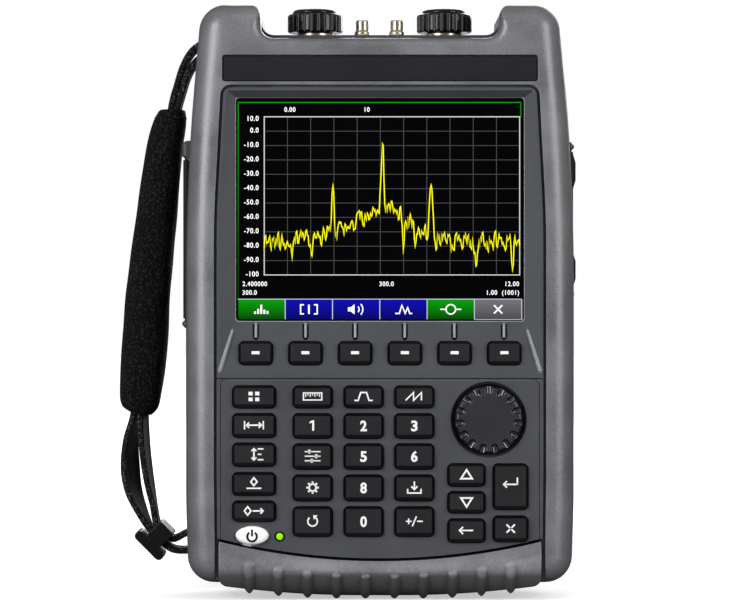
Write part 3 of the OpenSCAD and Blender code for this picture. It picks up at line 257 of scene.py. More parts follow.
# Cover glass: etched against glare over an unlit black panel, so that it shows little but a dull sheen
glass_black = moulded(
    "glass_etched_over_black", "#020203", 0.3, grain=0.4, depth=0.003, mottle=0.1, edge_wear_and_highlight=0.0, shine=0.06)

# Lit pixels of the screen: each glows in its own colour, and the labels darken towards their feet
pixel_white = lit("pixels_white", "#f2f2f2", strength=1.5)
pixel_frame = lit("pixels_frame", "#dcdcdc")
pixel_grid = lit("pixels_grid", "#565658")
pixel_yellow = lit("pixels_yellow", "#f4ee00", strength=1.4)
pixel_green = lit("pixels_green", "#00a600")
pixel_fade = lit("pixels_green_fading", "#00a600", "#003c00")
label_green = lit("pixels_label_green", "#00a002", "#024602")
label_blue = lit("pixels_label_blue", "#0a0ab4", "#020262")
label_grey = lit("pixels_label_grey", "#747476", "#4c4c4e")
label_edge = lit("pixels_label_edge", "#c9cbe6")
# Status lamp: clear lens over a lit green die, which glows all over
lamp_green = lit("lens_lit_green", "#b4ff0a", "#8ee600")


# Cloth, in mm: stitch, rib and yarn of the weave, pale specks, and where across the webbing these come in
STITCH, RIB, YARN, SPECK = 1.2, 1.5, 1.1, 0.9
SPECKS_FROM, SPECKS_FULL = 6.2, 7.2


def knit(name, code):
    """Knit polyester over foam: stitches painted dark in their hollows and paler at their tops, as painted
    shade and a painted glint, and an uneven fuzz.

    The real stitches are about half as wide, and are drawn coarser so that they show.
    """
    material, tree = blank(name)
    place = put(tree, "TexCoord").outputs["Object"]
    stitch = put(tree, "TexVoronoi", {"Vector": place, "Scale": 1 / (STITCH * MM)})
    fuzz = put(tree, "TexNoise", {"Vector": place, "Scale": 1 / (STITCH * MM), "Detail": 0.0})
    height = put(tree, "Math", {0: stitch, 1: -1.0, 2: fuzz}, operation="MULTIPLY_ADD")
    relief = put(tree, "Bump", {"Height": height, "Strength": 0.9, "Distance": 0.45 * MM})
    # Painted shade and glint: the base colour runs from dark in the stitch hollows to much paler at the
    # stitch tops
    put(tree, "OutputMaterial", {"Surface": put(tree, "BsdfPrincipled", {
        "Base Color": tones(tree, height, linear(code, 0.4), linear(code, 6.5), 0.0, 0.35),
        "Normal": relief, "Roughness": 0.85, "Specular IOR Level": 0.15,
        "Sheen Weight": 0.04, "Sheen Roughness": 0.5, "Sheen Tint": linear("#8a8a8c")})})
    return material


def woven(name, code):
    """Woven nylon webbing: ribs across it, yarns along it, and pale specks where the weft turns back."""
    material, tree = blank(name)
    part = put(tree, "SeparateXYZ", {0: put(tree, "TexCoord").outputs["UV"]})
    waves = []
    for way, pitch in (("Y", RIB), ("X", YARN)):
        turn = put(tree, "Math", {0: part.outputs[way], 1: 2 * pi / pitch}, operation="MULTIPLY")
        waves.append(put(tree, "Math", {0: turn}, operation="SINE"))
    weave = put(tree, "Math", {0: waves[0], 1: waves[1]}, operation="MULTIPLY")
    lift = put(tree, "MapRange", {"Value": weave, "From Min": -1.0, "From Max": 1.0})
    yarn = tones(tree, lift, linear(code, 0.6), linear(code, 1.5), 0.2, 0.95)
    across = put(tree, "Math", {0: part.outputs["X"]}, operation="ABSOLUTE")
    side = put(tree, "MapRange", {"Value": across, "From Min": SPECKS_FROM, "From Max": SPECKS_FULL})
    place = put(tree, "TexCoord").outputs["Object"]
    stray = put(tree, "TexNoise", {"Vector": place, "Scale": 1 / (SPECK * MM), "Detail": 1.0})
    caught = put(tree, "MapRange", {"Value": stray, "From Min": 0.58, "From Max": 0.7})
    speck = put(tree, "Math", {0: side, 1: caught}, operation="MULTIPLY")
    pale = put(tree, "Mix", {0: speck, 6: yarn, 7: linear("#5c5c5c")}, data_type="RGBA")
    relief = put(tree, "Bump", {"Height": lift, "Strength": 0.6, "Distance": 0.15 * MM})
    put(tree, "OutputMaterial", {"Surface": put(tree, "BsdfPrincipled", {
        "Base Color": pale.outputs[2], "Normal": relief, "Roughness": 0.7,
        "Specular IOR Level": 0.15, "Sheen Weight": 0.03})})
    return material


# Sleeve: knit polyester over neoprene foam, matte black with fine pebbling
sleeve_knit = knit("polyester_knit_over_foam", "#080809")
# Hem of the sleeve: the same knit, folded over and stitched down, a little paler where it is stretched
hem_knit = knit("polyester_knit_hem", "#151516")
# Webbing: nylon, woven flat, black with a dry sparkle
web_nylon = woven("nylon_woven_webbing", "#08080a")

FINISH = {
    "front_housing": housing_grey, "rear_housing": rear_grey, "end_cap": bumper_grey,
    "display_bezel": bezel_grey, "display_window": glass_black, "lcd_module": aluminium,
    "title_strip": title_film, "keypad_plate": plate_grey, "keypad_board": board_green,
    "main_board": board_green, "rf_module": aluminium, "battery_pack": pack_abs,
    "rf_connectors": nickel, "io_jacks": steel, "housing_screws": screw_black, "status_led": lamp_green,
    "strap_webbing": web_nylon, "strap_sleeve": sleeve_knit, "strap_buckle": buckle_acetal,
    "tuning_knob": knob_rubber, "left_port_cap": cap_black, "right_port_cap": cap_black,
    "bail_stand": stand_nylon, "battery_door": lid_grey, "battery_latch": stand_nylon,
    "left_io_door": door_rubber, "right_io_door": door_rubber, "power_button": button_white,
}
SMOOTH_ANGLE = radians(32)
for name, part in nodes.items():
    part.data.materials.clear()
    part.data.materials.append(FINISH.get(name, key_black))


# Meshes

def piece(name, points, faces, material, body, slot=None, smooth=True, uv=None):
    """A mesh piece that rides on a body. Points are in metres; uv gives a pair in mm for each point."""
    mesh = bpy.data.meshes.new(name)
    mesh.from_pydata([tuple(p) for p in points], [], faces)
    mesh.materials.append(material)
    if uv:
        layer = mesh.uv_layers.new(name="length")
        for loop in mesh.loops:
            layer.data[loop.index].uv = uv[loop.vertex_index]
    made = bpy.data.objects.new(name, mesh)
    scene.collection.objects.link(made)
    tidy = bmesh.new()
    tidy.from_mesh(mesh)
    bmesh.ops.remove_doubles(tidy, verts=tidy.verts, dist=1e-7)
    bmesh.ops.recalc_face_normals(tidy, faces=tidy.faces)
    tidy.to_mesh(mesh)
    tidy.free()
    if smooth:
        mesh.shade_smooth()
        mesh.set_sharp_from_angle(angle=SMOOTH_ANGLE)
    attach(made, body)
    return made


def skin(rings, around):
    """Faces of a closed form lofted over rings of points, with a cap at each end."""
    faces = []
    for i in range(rings - 1):
        for k in range(around):
            a, b = i * around + k, i * around + (k + 1) % around
            faces.append([a, b, b + around, a + around])
    return faces + [list(reversed(range(around))), [(rings - 1) * around + k for k in range(around)]]


def gather(parts):
    """One mesh out of several."""
    points, faces = [], []
    for more, shapes in parts:
        faces += [[len(points) + i for i in f] for f in shapes]
        points += more
    return points, faces


class Drawing:
    """Flat shapes in the (x, z) plane in mm, turned into thin raised print."""

    def __init__(self):
        self.shapes = []

    def shape(self, points):
        self.shapes.append([tuple(p) for p in points])
        return self

    def block(self, x0, x1, z0, z1):
        return self.shape([(x0, z0), (x1, z0), (x1, z1), (x0, z1)])

    def line(self, points, width, closed=False):
        """A line of that width, mitred where it bends."""
        points = [Vector(p) for p in points]
        count = len(points)
        edges = []
        for i, p in enumerate(points):
            before = points[i - 1] if i or closed else None
            after = points[(i + 1) % count] if i < count - 1 or closed else None
            a = (p - before).normalized() if before is not None else (after - p).normalized()
            b = (after - p).normalized() if after is not None else a
            along = (a + b).normalized() if (a + b).length > 0.1 else b
            side = Vector((-along.y, along.x))
            reach = width / 2 / max(0.45, side.dot(Vector((-b.y, b.x))))
            edges.append((p + side * reach, p - side * reach))
        for i in range(count if closed else count - 1):
            (a, b), (c, d) = edges[i], edges[(i + 1) % count]
            self.shape([b, d, c, a])
        return self

    def ring(self, x, z, radius, width, start=0.0, end=360.0, steps=28):
        turn = [radians(start + (end - start) * i / steps) for i in range(steps + 1)]
        path = [(x + radius * cos(t), z + radius * sin(t)) for t in turn]
        return self.line(path[:-1] if end - start == 360 else path, width, closed=end - start == 360)

    def lay(self, name, x, front, z, thick, material, body, slot):
        """Raises the drawing from y = front + thick to y = front, moved to (x, z), all in mm.

        An edge that two shapes share gets no wall, so that each run of shapes is one closed form.
        """
        points, faces, walls = [], [], {}
        for s in self.shapes:
            n, at = len(s), len(points)
            points += [Vector((x + p[0], front, z + p[1])) * MM for p in s]
            points += [Vector((x + p[0], front + thick, z + p[1])) * MM for p in s]
            faces.append([at + i for i in range(n)])
            faces.append([at + n + i for i in reversed(range(n))])
            spots = [(round(p[0], 4), round(p[1], 4)) for p in s]
            for i in range(n):
                k = (i + 1) % n
                wall = [at + i, at + n + i, at + n + k, at + k]
                walls.setdefault(frozenset((spots[i], spots[k])), []).append(wall)
        faces += [found[0] for found in walls.values() if len(found) == 1]
        return piece(name, points, faces, material, body, slot, smooth=False)


# Blender's own font: height of its digits at size 1, and how far the figures are spaced out and narrowed
DIGIT_HEIGHT, SPACING, NARROW = 0.73, 1.12, 0.92


def figures(words, bold):
    """A drawing of figures; words are (text, x, z, height, width or None, align) in mm."""
    gathered = bmesh.new()
    for text, x, z, height, width, align in words:
        curve = bpy.data.curves.new("figures", "FONT")
        curve.body = text
        curve.offset = bold
        curve.space_character = SPACING
        curve.resolution_u = 4
        holder = bpy.data.objects.new("figures", curve)
        scene.collection.objects.link(holder)
        bpy.context.view_layer.update()
        mesh = bpy.data.meshes.new_from_object(holder.evaluated_get(bpy.context.evaluated_depsgraph_get()))
        left, right = (pick(v.co.x for v in mesh.vertices) for pick in (min, max))
        tall = height / DIGIT_HEIGHT
        wide = width / (right - left) if width else tall * NARROW
        anchor = {"left": left, "right": right, "middle": (left + right) / 2}[align]
        for v in mesh.vertices:
            v.co = Vector((x + (v.co.x - anchor) * wide, 0, z + (v.co.y - DIGIT_HEIGHT / 2) * tall))
        gathered.from_mesh(mesh)
        bpy.data.curves.remove(curve)
        bpy.data.meshes.remove(mesh)
    bmesh.ops.dissolve_limit(gathered, angle_limit=0.001, verts=gathered.verts, edges=gathered.edges)
    bmesh.ops.triangulate(gathered, faces=gathered.faces)
    shapes = Drawing()
    for face in gathered.faces:
        shapes.shape([(v.co.x, v.co.z) for v in face.verts])
    gathered.free()
    return shapes


# Screen: thin layers of lit pixels on the cover glass
window_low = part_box("display_window")[0] / MM
LAYER, GRID_LINE, FRAME_LINE, TRACE_LINE = 0.04, 0.26, 0.48, 0.5
GRAPH_LEFT, GRAPH_RIGHT, GRAPH_LOW, GRAPH_HIGH = -55.9, 67.5, 157.1, 233.5
GRAPH_W, GRAPH_H = GRAPH_RIGHT - GRAPH_LEFT, GRAPH_HIGH - GRAPH_LOW
LIT_LEFT, LIT_RIGHT, LIT_HIGH, LINE_LOW, LINE_HIGH = -68.7, 68.2, 240.1, 240.2, 240.66
LEFT_LINE, RIGHT_LINE = 0.45, 0.4
LABEL_LEFT, LABEL_RIGHT, LABEL_LOW, LABEL_HIGH, LABEL_W = -68.6, 68.5, 135.7, 145.3, 22.85
LABEL_GAP, LABEL_EDGE, SEAM_LAP = 0.2, 0.3, 0.05
TOP_LEVEL, LOW_LEVEL, LEVEL_MARGIN = 10, -100, 2
DIVISIONS = 11


def on_screen(drawing, name, material, layer=1):
    """Lays a drawing on the glass; a higher layer stands out further."""
    return drawing.lay(name, 0, window_low.y - LAYER * layer, 0, LAYER * layer, material, "housing", "glass")


grid = Drawing()
for i in range(1, DIVISIONS):
    x, z = GRAPH_LEFT + GRAPH_W * i / DIVISIONS, GRAPH_LOW + GRAPH_H * i / DIVISIONS
    grid.block(x - GRID_LINE / 2, x + GRID_LINE / 2, GRAPH_LOW, GRAPH_HIGH)
    grid.block(GRAPH_LEFT, GRAPH_RIGHT, z - GRID_LINE / 2, z + GRID_LINE / 2)
on_screen(grid, "screen_grid", pixel_grid)

corners = [(GRAPH_LEFT, GRAPH_LOW), (GRAPH_RIGHT, GRAPH_LOW), (GRAPH_RIGHT, GRAPH_HIGH),
           (GRAPH_LEFT, GRAPH_HIGH)]
on_screen(Drawing().line(corners, FRAME_LINE, closed=True), "screen_graph_frame", pixel_frame, 2)

top_line = Drawing().block(LIT_LEFT, LIT_RIGHT, LINE_LOW, LINE_HIGH)
top_line.block(LIT_RIGHT - RIGHT_LINE, LIT_RIGHT, GRAPH_HIGH, LIT_HIGH)
on_screen(top_line, "screen_top_line", pixel_green)
left_line = Drawing().block(LIT_LEFT, LIT_LEFT + LEFT_LINE, LABEL_HIGH + LABEL_EDGE, LIT_HIGH)
on_screen(left_line, "screen_left_line", pixel_fade)

# The trace: a noise floor with a broad hump, three carriers and a few deep nulls.
# Places and widths are shares of the graph's width; levels, heights and depths are figures on its axis.
random.seed(1)
STEPS = 320
FLOOR, NOISE, CARRY_ON, CARRIER_W, NULL_W = -77.0, 6.0, 0.3, 0.007, 0.005
HUMPS = [(0.47, 17, 0.12), (0.42, 8, 0.24)]
CARRIERS = [(0.27, 33), (0.463, 44), (0.653, 39)]
NULLS = [(0.11, 8), (0.185, 12), (0.278, 12), (0.545, 27), (0.59, 17), (0.672, 13), (0.73, 7), (0.828, 18),
         (0.972, 18)]
PEAKS = HUMPS + [(c, h, CARRIER_W) for c, h in CARRIERS] + [(c, -h, NULL_W) for c, h in NULLS]
trace = []
walk = 0.0
for i in range(STEPS + 1):
    u = i / STEPS
    walk = CARRY_ON * walk + random.uniform(-NOISE, NOISE)
    level = FLOOR + walk + sum(h * exp(-((u - c) / w) ** 2) for c, h, w in PEAKS)
    level = max(LOW_LEVEL + LEVEL_MARGIN, min(TOP_LEVEL - LEVEL_MARGIN, level))
    share = (TOP_LEVEL - level) / (TOP_LEVEL - LOW_LEVEL)
    trace.append((GRAPH_LEFT + u * GRAPH_W, GRAPH_HIGH - share * GRAPH_H))
on_screen(Drawing().line(trace, TRACE_LINE), "screen_trace", pixel_yellow, 3)

AXIS = ["10.0", "0.0"] + [f"-{n}0.0" for n in range(1, 10)] + ["-100"]
AXIS_X, AXIS_FIGURE, FIGURE, SCREEN_BOLD = -58.6, 2.5, 2.3, 0.012
FIRST_RAISE, AXIS_RAISE = -0.7, 0.6
TOP_ROW, UPPER_ROW, LOWER_ROW = 237.1, 152.9, 148.7
axis_step = GRAPH_H / (len(AXIS) - 1)
words = [(text, AXIS_X, GRAPH_HIGH - axis_step * i + (AXIS_RAISE if i else FIRST_RAISE), AXIS_FIGURE, None,
          "right") for i, text in enumerate(AXIS)]
words += [(text, x, z, FIGURE, None, align) for text, x, z, align in [
    ("0.00", -43.5, TOP_ROW, "middle"), ("10", -6.2, TOP_ROW, "middle"),
    ("2.400000", -66.4, UPPER_ROW, "left"), ("300.0", 3.2, UPPER_ROW, "middle"),
    ("12.00", 67.2, UPPER_ROW, "right"), ("300.0", -66.4, LOWER_ROW, "left"),
    ("1.00  (1001)", 67.2, LOWER_ROW, "right")]]
on_screen(figures(words, SCREEN_BOLD), "screen_figures", pixel_white)

LABELS = [label_green, label_blue, label_blue, label_blue, label_green, label_grey]
seams = Drawing().block(LABEL_LEFT, LABEL_RIGHT, LABEL_HIGH - SEAM_LAP, LABEL_HIGH + LABEL_EDGE)
seams.block(LABEL_LEFT + (len(LABELS) - 1) * LABEL_W, LABEL_RIGHT, LABEL_LOW - LABEL_EDGE, LABEL_LOW)
for i, colour in enumerate(LABELS):
    x0, x1 = LABEL_LEFT + i * LABEL_W, LABEL_LEFT + (i + 1) * LABEL_W
    label = Drawing().block(x0 + LABEL_GAP, x1 - LABEL_GAP, LABEL_LOW, LABEL_HIGH)
    on_screen(label, f"screen_label_{i + 1}", colour)
    seams.block(x1 - LABEL_GAP - SEAM_LAP, x1 + LABEL_GAP, LABEL_LOW, LABEL_HIGH)
on_screen(seams, "screen_label_edges", label_edge, 2)

# Signs on the labels: bars, a span between brackets, a speaker, a crowded band, a source and a cross
signs = Drawing()
mid = (LABEL_LOW + LABEL_HIGH) / 2
bars_x, span_x, speaker_x, band_x, source_x, cross_x = (LABEL_LEFT + (i + 0.5) * LABEL_W for i in range(6))
for k, h in enumerate((1.2, 2.4, 4.4, 2.0, 1.4)):
    signs.block(bars_x - 3.6 + 1.5 * k, bars_x - 2.7 + 1.5 * k, mid - 2.2, mid - 2.2 + h)
for side in (-1, 1):
    signs.line([(span_x + side * a, mid + b) for a, b in [(2.4, 2.2), (4, 2.2), (4, -2.2), (2.4, -2.2)]], 0.6)
signs.block(span_x - 0.4, span_x + 0.4, mid - 2.2, mid + 2.2)
signs.shape([(speaker_x + a, mid + b) for a, b in
             [(-4, -1), (-2.6, -1), (-0.8, -2.4), (-0.8, 2.4), (-2.6, 1), (-4, 1)]])
for r in (2, 3.8):
    signs.ring(speaker_x - 0.6, mid, r, 0.55, -42, 42, 10)
signs.line([(band_x + a, mid + b) for a, b in
            [(-4, -2), (-2, -2), (-0.8, 2), (0.8, -2), (2, 0.8), (3, -2), (4.2, -2)]], 0.6)
signs.ring(source_x, mid, 2.3, 0.6)
for a, b in ((-5, -2.4), (2.4, 5)):
    signs.line([(source_x + a, mid), (source_x + b, mid)], 0.6)
for side in (-1, 1):
    signs.line([(cross_x - 2, mid - side * 2), (cross_x + 2, mid + side * 2)], 0.7)
on_screen(signs, "screen_label_signs", pixel_white, 2)

# Legends: pad printed on each key, in white. Words on such keys become plain signs.
# The print stands out by PRINT and reaches into the face; the power button's face is domed.
STROKE, BOLD_STROKE, TIP = 0.75, 0.85, 0.6
DIGIT, DIGIT_W, KEY_BOLD = 5.0, 3.2, 0.035
PRINT, KEY_SINK, POWER_SINK, TITLE_SINK = 0.05, 0.01, 0.25, 0.02
LEGEND_RAISE, ENTER_RAISE = 0.35, 2.2


def arrow(d, x0, x1, z, head=1.3):
    """Draws an arrow from x0 to x1 at height z."""
    s = 1 if x1 > x0 else -1
    d.line([(x0, z), (x1 - s * TIP, z)], STROKE)
    return d.line([(x1 - s * head, z + head), (x1, z), (x1 - s * head, z - head)], STROKE)


def upright(d, z0, z1, head=1.2):
    """Draws an arrow from z0 to z1 on the key's middle line."""
    s = 1 if z1 > z0 else -1
    d.line([(0, z0), (0, z1 - s * TIP)], STROKE)
    return d.line([(-head, z1 - s * head), (0, z1), (head, z1 - s * head)], STROKE)


def diamond(d, x, z, r):
    return d.line([(x, z - r), (x + r * 0.8, z), (x, z + r), (x - r * 0.8, z)], STROKE, closed=True)


SIGNS = {}


def sign(key):
    """The drawing of a key's sign, which starts empty."""
    return SIGNS.setdefault(key, Drawing())


for i in range(1, 7):
    sign(f"softkey_{i}").block(-1.95, 1.95, -0.75, 0.75)
for digit in "235680":
    SIGNS[f"key_{digit}"] = figures([(digit, 0, 0, DIGIT, DIGIT_W, "middle")], KEY_BOLD)
sign("key_1").shape([
    (-0.2, -2.5), (0.75, -2.5), (0.75, 2.5), (-0.2, 2.5), (-1.5, 1.8), (-1.5, 1.0), (-0.2, 1.45)])
for x in (-2.6, 0.6):
    for z in (-2.3, 0.5):
        sign("mode_key").block(x, x + 2, z, z + 1.8)
arrow(arrow(sign("frequency_key"), 0, 3.6, 0), 0, -3.6, 0)
for x in (-4.5, 4.5):
    sign("frequency_key").block(x - 0.35, x + 0.35, -2, 2)
upright(upright(sign("scale_key"), 0, 2.7), 0, -2.7)
for z, reach in ((-2.6, 4.6), (2.6, 4.6), (0, 3.6)):
    sign("scale_key").block(1.8, reach, z - 0.35, z + 0.35)
diamond(sign("marker_key"), 0, 0.9, 1.9).block(-3.6, 3.6, -2.6, -1.9)
arrow(diamond(sign("marker_tools_key"), -3, 0, 2.0), -0.6, 4.4, 0)
sign("measure_key").line([(-4.4, -1.7), (4.4, -1.7), (4.4, 1.7), (-4.4, 1.7)], 0.65, closed=True)
for k in range(-3, 4):
    sign("measure_key").block(k * 1.1 - 0.25, k * 1.1 + 0.25, 1.5 - (1.7 if k % 2 else 1.1), 1.5)
sign("bandwidth_key").line(
    [(-4.4, -1.9), (-2.6, -1.9), (-1.4, 1.9), (1.4, 1.9), (2.6, -1.9), (4.4, -1.9)], STROKE)
sign("sweep_key").line([(-4.2, -1.9), (-0.4, 1.9), (-0.4, -1.9), (3.4, 1.9), (3.4, -1.9)], STROKE)
for x, z in ((-1.6, 2.2), (1.8, 0), (-0.4, -2.2)):
    sign("setup_key").block(-3.8, 3.8, z - 0.3, z + 0.3).block(x - 0.6, x + 0.6, z - 0.95, z + 0.95)
sign("system_key").ring(0, 0, 1.7, 0.9)
for k in range(8):
    c, s = cos(pi * k / 4), sin(pi * k / 4)
    sign("system_key").line([(1.9 * c, 1.9 * s), (3.0 * c, 3.0 * s)], 0.95)
upright(sign("save_key"), 3.0, -0.9, 1.5)
sign("save_key").line([(-3.2, -0.6), (-3.2, -2.6), (3.2, -2.6), (3.2, -0.6)], STROKE)
sign("preset_key").ring(0, 0, 2.3, STROKE, -230, 50, 24)
sign("preset_key").shape([(0.2, 2.9), (2.5, 3.0), (0.6, 0.7)])
sign("sign_key").line([(-1.0, -2.4), (1.0, 2.4)], 0.7).block(1.3, 4.1, -0.35, 0.35)
sign("sign_key").block(-4.1, -1.3, -0.35, 0.35)
for z in (-1.4, 0.35):
    sign("sign_key").block(-3.05, -2.35, z, z + 1.05)
sign("up_key").line([(-2.7, -1.9), (2.7, -1.9), (0, 2.3)], BOLD_STROKE, closed=True)
sign("down_key").line([(2.7, 1.9), (-2.7, 1.9), (0, -2.3)], BOLD_STROKE, closed=True)
arrow(sign("back_key"), 3.2, -3.4, 0, 1.7)
sign("enter_key").line([(3.2, 2.4), (3.2, -0.9), (3.0, -0.9)], STROKE)
arrow(sign("enter_key"), 3.2, -3.4, -0.9, 1.6)
sign("escape_key").line([(-2, -2), (2, 2)], BOLD_STROKE).line([(-2, 2), (2, -2)], BOLD_STROKE)


def front_middle(box):
    """Middle x, front y, middle z and width of a CAD box, in mm."""
    low, high = (v / MM for v in box)
    return (low.x + high.x) / 2, low.y, (low.z + high.z) / 2, high.x - low.x


for name, drawing in SIGNS.items():
    x, y, z, _ = front_middle(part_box(name))
    z += ENTER_RAISE if name == "enter_key" else LEGEND_RAISE
    drawing.lay(f"legend_{name}", x, y - PRINT, z, PRINT + KEY_SINK, ink_white, name, "button")
x, y, z, _ = front_middle(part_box("power_button"))
power = Drawing().ring(0, -0.4, 2.3, 1.05, -235, 55, 26).block(-0.5, 0.5, -0.3, 3.0)
power.lay("power_symbol", x, y - PRINT, z, PRINT + POWER_SINK, ink_black, "power_button", "key")

# Lamp: a ring of painted shade round the lens
LAMP_INSET, LAMP_LINE, LAMP_BACK, LAMP_DEEP = 0.1, 0.8, 0.35, 0.5
x, y, z, width = front_middle(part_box("status_led"))
lamp_ring = Drawing().ring(0, 0, width / 2 - LAMP_INSET, LAMP_LINE)
lamp_ring.lay("lamp_ring", x, y + LAMP_BACK, z, LAMP_DEEP, painted_groove_shade, "housing", "bezel")


def round_corners(low, high, radius):
    """Points of an upright rectangle with rounded corners, between its lower left and upper right corners."""
    middle, half = (low + high) / 2, (high - low) / 2
    return [(middle.x + sx * (half.x - radius) + radius * cos(radians(start + 15 * k)),
             middle.z + sz * (half.z - radius) + radius * sin(radians(start + 15 * k)))
            for sx, sz, start in [(1, 1, 0), (-1, 1, 90), (-1, -1, 180), (1, -1, 270)] for k in range(7)]


# Title strip: a thin outline of painted shade, set in from its edge by half the line
TITLE_LINE, TITLE_R = 0.44, 1.0
low, high = (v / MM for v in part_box("title_strip"))
inset = Vector((TITLE_LINE, 0, TITLE_LINE)) / 2
title_line = Drawing().line(round_corners(low + inset, high - inset, TITLE_R), TITLE_LINE, closed=True)
title_line.lay("title_outline", 0, low.y - PRINT, 0, PRINT + TITLE_SINK, painted_groove_shade, "housing", "bezel")


# Bezel: a half-round bar in a groove of painted shade points from each soft key to its label, a thin rim
# painted light as a painted highlight goes round the window, and a ribbed ridge of the same light grey slants
# down on each side of the soft keys

def rod(path, radii, sides=12):
    """Points in metres and faces of a rod along a path in mm, with a radius for each point of the path."""
    points, last = [], len(path) - 1
    for i, p in enumerate(path):
        along = (path[min(last, i + 1)] - path[max(0, i - 1)]).normalized()
        right = along.cross(AWAY).normalized()
        up = right.cross(along)
        for k in range(sides):
            t = 2 * pi * k / sides
            points.append((p + radii[i] * (right * cos(t) + up * sin(t))) * MM)
    return points, skin(len(path), sides)


IN_FRONT = 100
bezel_mesh = nodes["display_bezel"].data
bezel_face = BVHTree.FromPolygons([v.co for v in bezel_mesh.vertices],
                                  [p.vertices for p in bezel_mesh.polygons])


def on_bezel(x, z, lift=0.0):
    """The point of the bezel's front that the user sees at (x, z), in mm, raised towards the user."""
    hit = bezel_face.ray_cast(Vector((x, -IN_FRONT, z)) * MM, AWAY)[0]
    return Vector((x, hit.y / MM - lift, z))


def round_end(k, step, radius, least):
    """Share of the full width at step k from a rounded end."""
    return sqrt(max(least, 1 - max(0, 1 - k * step / radius) ** 2))


# Bars and grooves: a sink goes into the bezel, a step is the advance along the rounded end, in mm
POINTER_LOW, POINTER_HIGH, POINTER_R, POINTER_STEPS = 125.6, 133.4, 0.68, 16
BAR_SINK, BAR_START, BAR_SHIFT, BAR_STEP, BAR_TIP = 0.05, 1.2, 0.5, 0.45, 0.04
FLARE_FROM, FLARE = 14, 0.3
GROOVE_HALF, GROOVE_ACROSS = 1.55, (-1, -0.79, -0.75, 0.75, 0.79, 1)
GROOVE_OVER, GROOVE_UNDER, GROOVE_STEP, GROOVE_TIP = 0.05, 0.1, 0.49, 0.05
heights = [POINTER_LOW + (POINTER_HIGH - POINTER_LOW) * k / POINTER_STEPS for k in range(POINTER_STEPS + 1)]
bars, grooves = [], []
for i in range(6):
    x = front_middle(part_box(f"softkey_{i + 1}"))[0]
    bars.append(rod([on_bezel(x, max(z + BAR_SHIFT, POINTER_LOW + BAR_START), -BAR_SINK) for z in heights],
                    [POINTER_R * (round_end(k, BAR_STEP, POINTER_R, BAR_TIP) + FLARE * max(0, k - FLARE_FROM))
                     for k in range(POINTER_STEPS + 1)]))
    strip = []
    for k, z in enumerate(heights):
        half = GROOVE_HALF * round_end(k, GROOVE_STEP, GROOVE_HALF, GROOVE_TIP)
        strip += [on_bezel(x + e * half, z, GROOVE_OVER) * MM for e in GROOVE_ACROSS]
        strip += [on_bezel(x + e * half, z, -GROOVE_UNDER) * MM for e in reversed(GROOVE_ACROSS)]
    grooves.append((strip, skin(len(heights), 2 * len(GROOVE_ACROSS))))
piece("softkey_grooves", *gather(grooves), painted_groove_shade, "housing", "bezel", smooth=False)
piece("softkey_pointers", *gather(bars), painted_highlight_grey, "housing", "bezel")

WINDOW_W, WINDOW_H, WINDOW_Z, WINDOW_R = 139.1, 107.7, 188.7, 1.6
RIM, RIM_OUT, RIM_DEEP, RIM_BESIDE = 0.42, 0.06, 0.2, 0.4
reach, centre = Vector((WINDOW_W + RIM, 0, WINDOW_H + RIM)) / 2, Vector((0, 0, WINDOW_Z))
rim = Drawing().line(round_corners(centre - reach, centre + reach, WINDOW_R), RIM, closed=True)
rim_front = on_bezel(0, WINDOW_Z - WINDOW_H / 2 - RIM_BESIDE).y - RIM_OUT
rim.lay("window_rim", 0, rim_front, 0, RIM_DEEP, painted_highlight_grey, "housing", "bezel")

RIDGE_STEPS, RIDGE_PITCH, RIDGE_RIB = 150, 1.15, 0.14
RIDGE_X, RIDGE_Z, RIDGE_OUT, RIDGE_DROP = 70.9, 131.2, 6.6, 21.4
RIDGE_LEN, RIDGE_R, RIDGE_SWELL, RIDGE_SINK, RIDGE_END, RIDGE_TIP = 22.4, 0.75, 0.5, 0.5, 10, 0.3
ridges = []
for side in (-1, 1):
    line, swell = [], []
    for k in range(RIDGE_STEPS + 1):
        u = k / RIDGE_STEPS
        line.append(on_bezel(side * (RIDGE_X + RIDGE_OUT * u), RIDGE_Z - RIDGE_DROP * u, -RIDGE_SINK))
        rib = RIDGE_RIB * sin(2 * pi * RIDGE_LEN * u / RIDGE_PITCH)
        taper = min(1, RIDGE_TIP + k / RIDGE_END, RIDGE_TIP + (RIDGE_STEPS - k) / RIDGE_END)
        swell.append((RIDGE_R + RIDGE_SWELL * u + rib) * taper)
    ridges.append(rod(line, swell))
piece("bezel_ridges", *gather(ridges), painted_highlight_grey, "housing", "bezel")


# Connectors: turned bodies with cut threads, round flanges, white insulators and gold contacts

def lathe(rings, segments):
    """Points in mm and faces of a turned body; rings are (radius or radius by share of a turn, height)."""
    points = []
    for radius, z in rings:
        for k in range(segments):
            t = 2 * pi * k / segments
            r = radius(k / segments) if callable(radius) else radius
            points.append(Vector((r * cos(t), r * sin(t), z)))
    return points, skin(len(rings), segments)


def thread(radius, depth, pitch, z0, z1, steps=4):
    """Rings of a helical thread."""
    def crest(z):
        return lambda f: radius - depth * abs(2 * (((z - z0) / pitch - f) % 1) - 1)
    count = int((z1 - z0) / pitch * steps)
    return [(crest(z), z) for z in (z0 + (z1 - z0) * i / count for i in range(count + 1))]


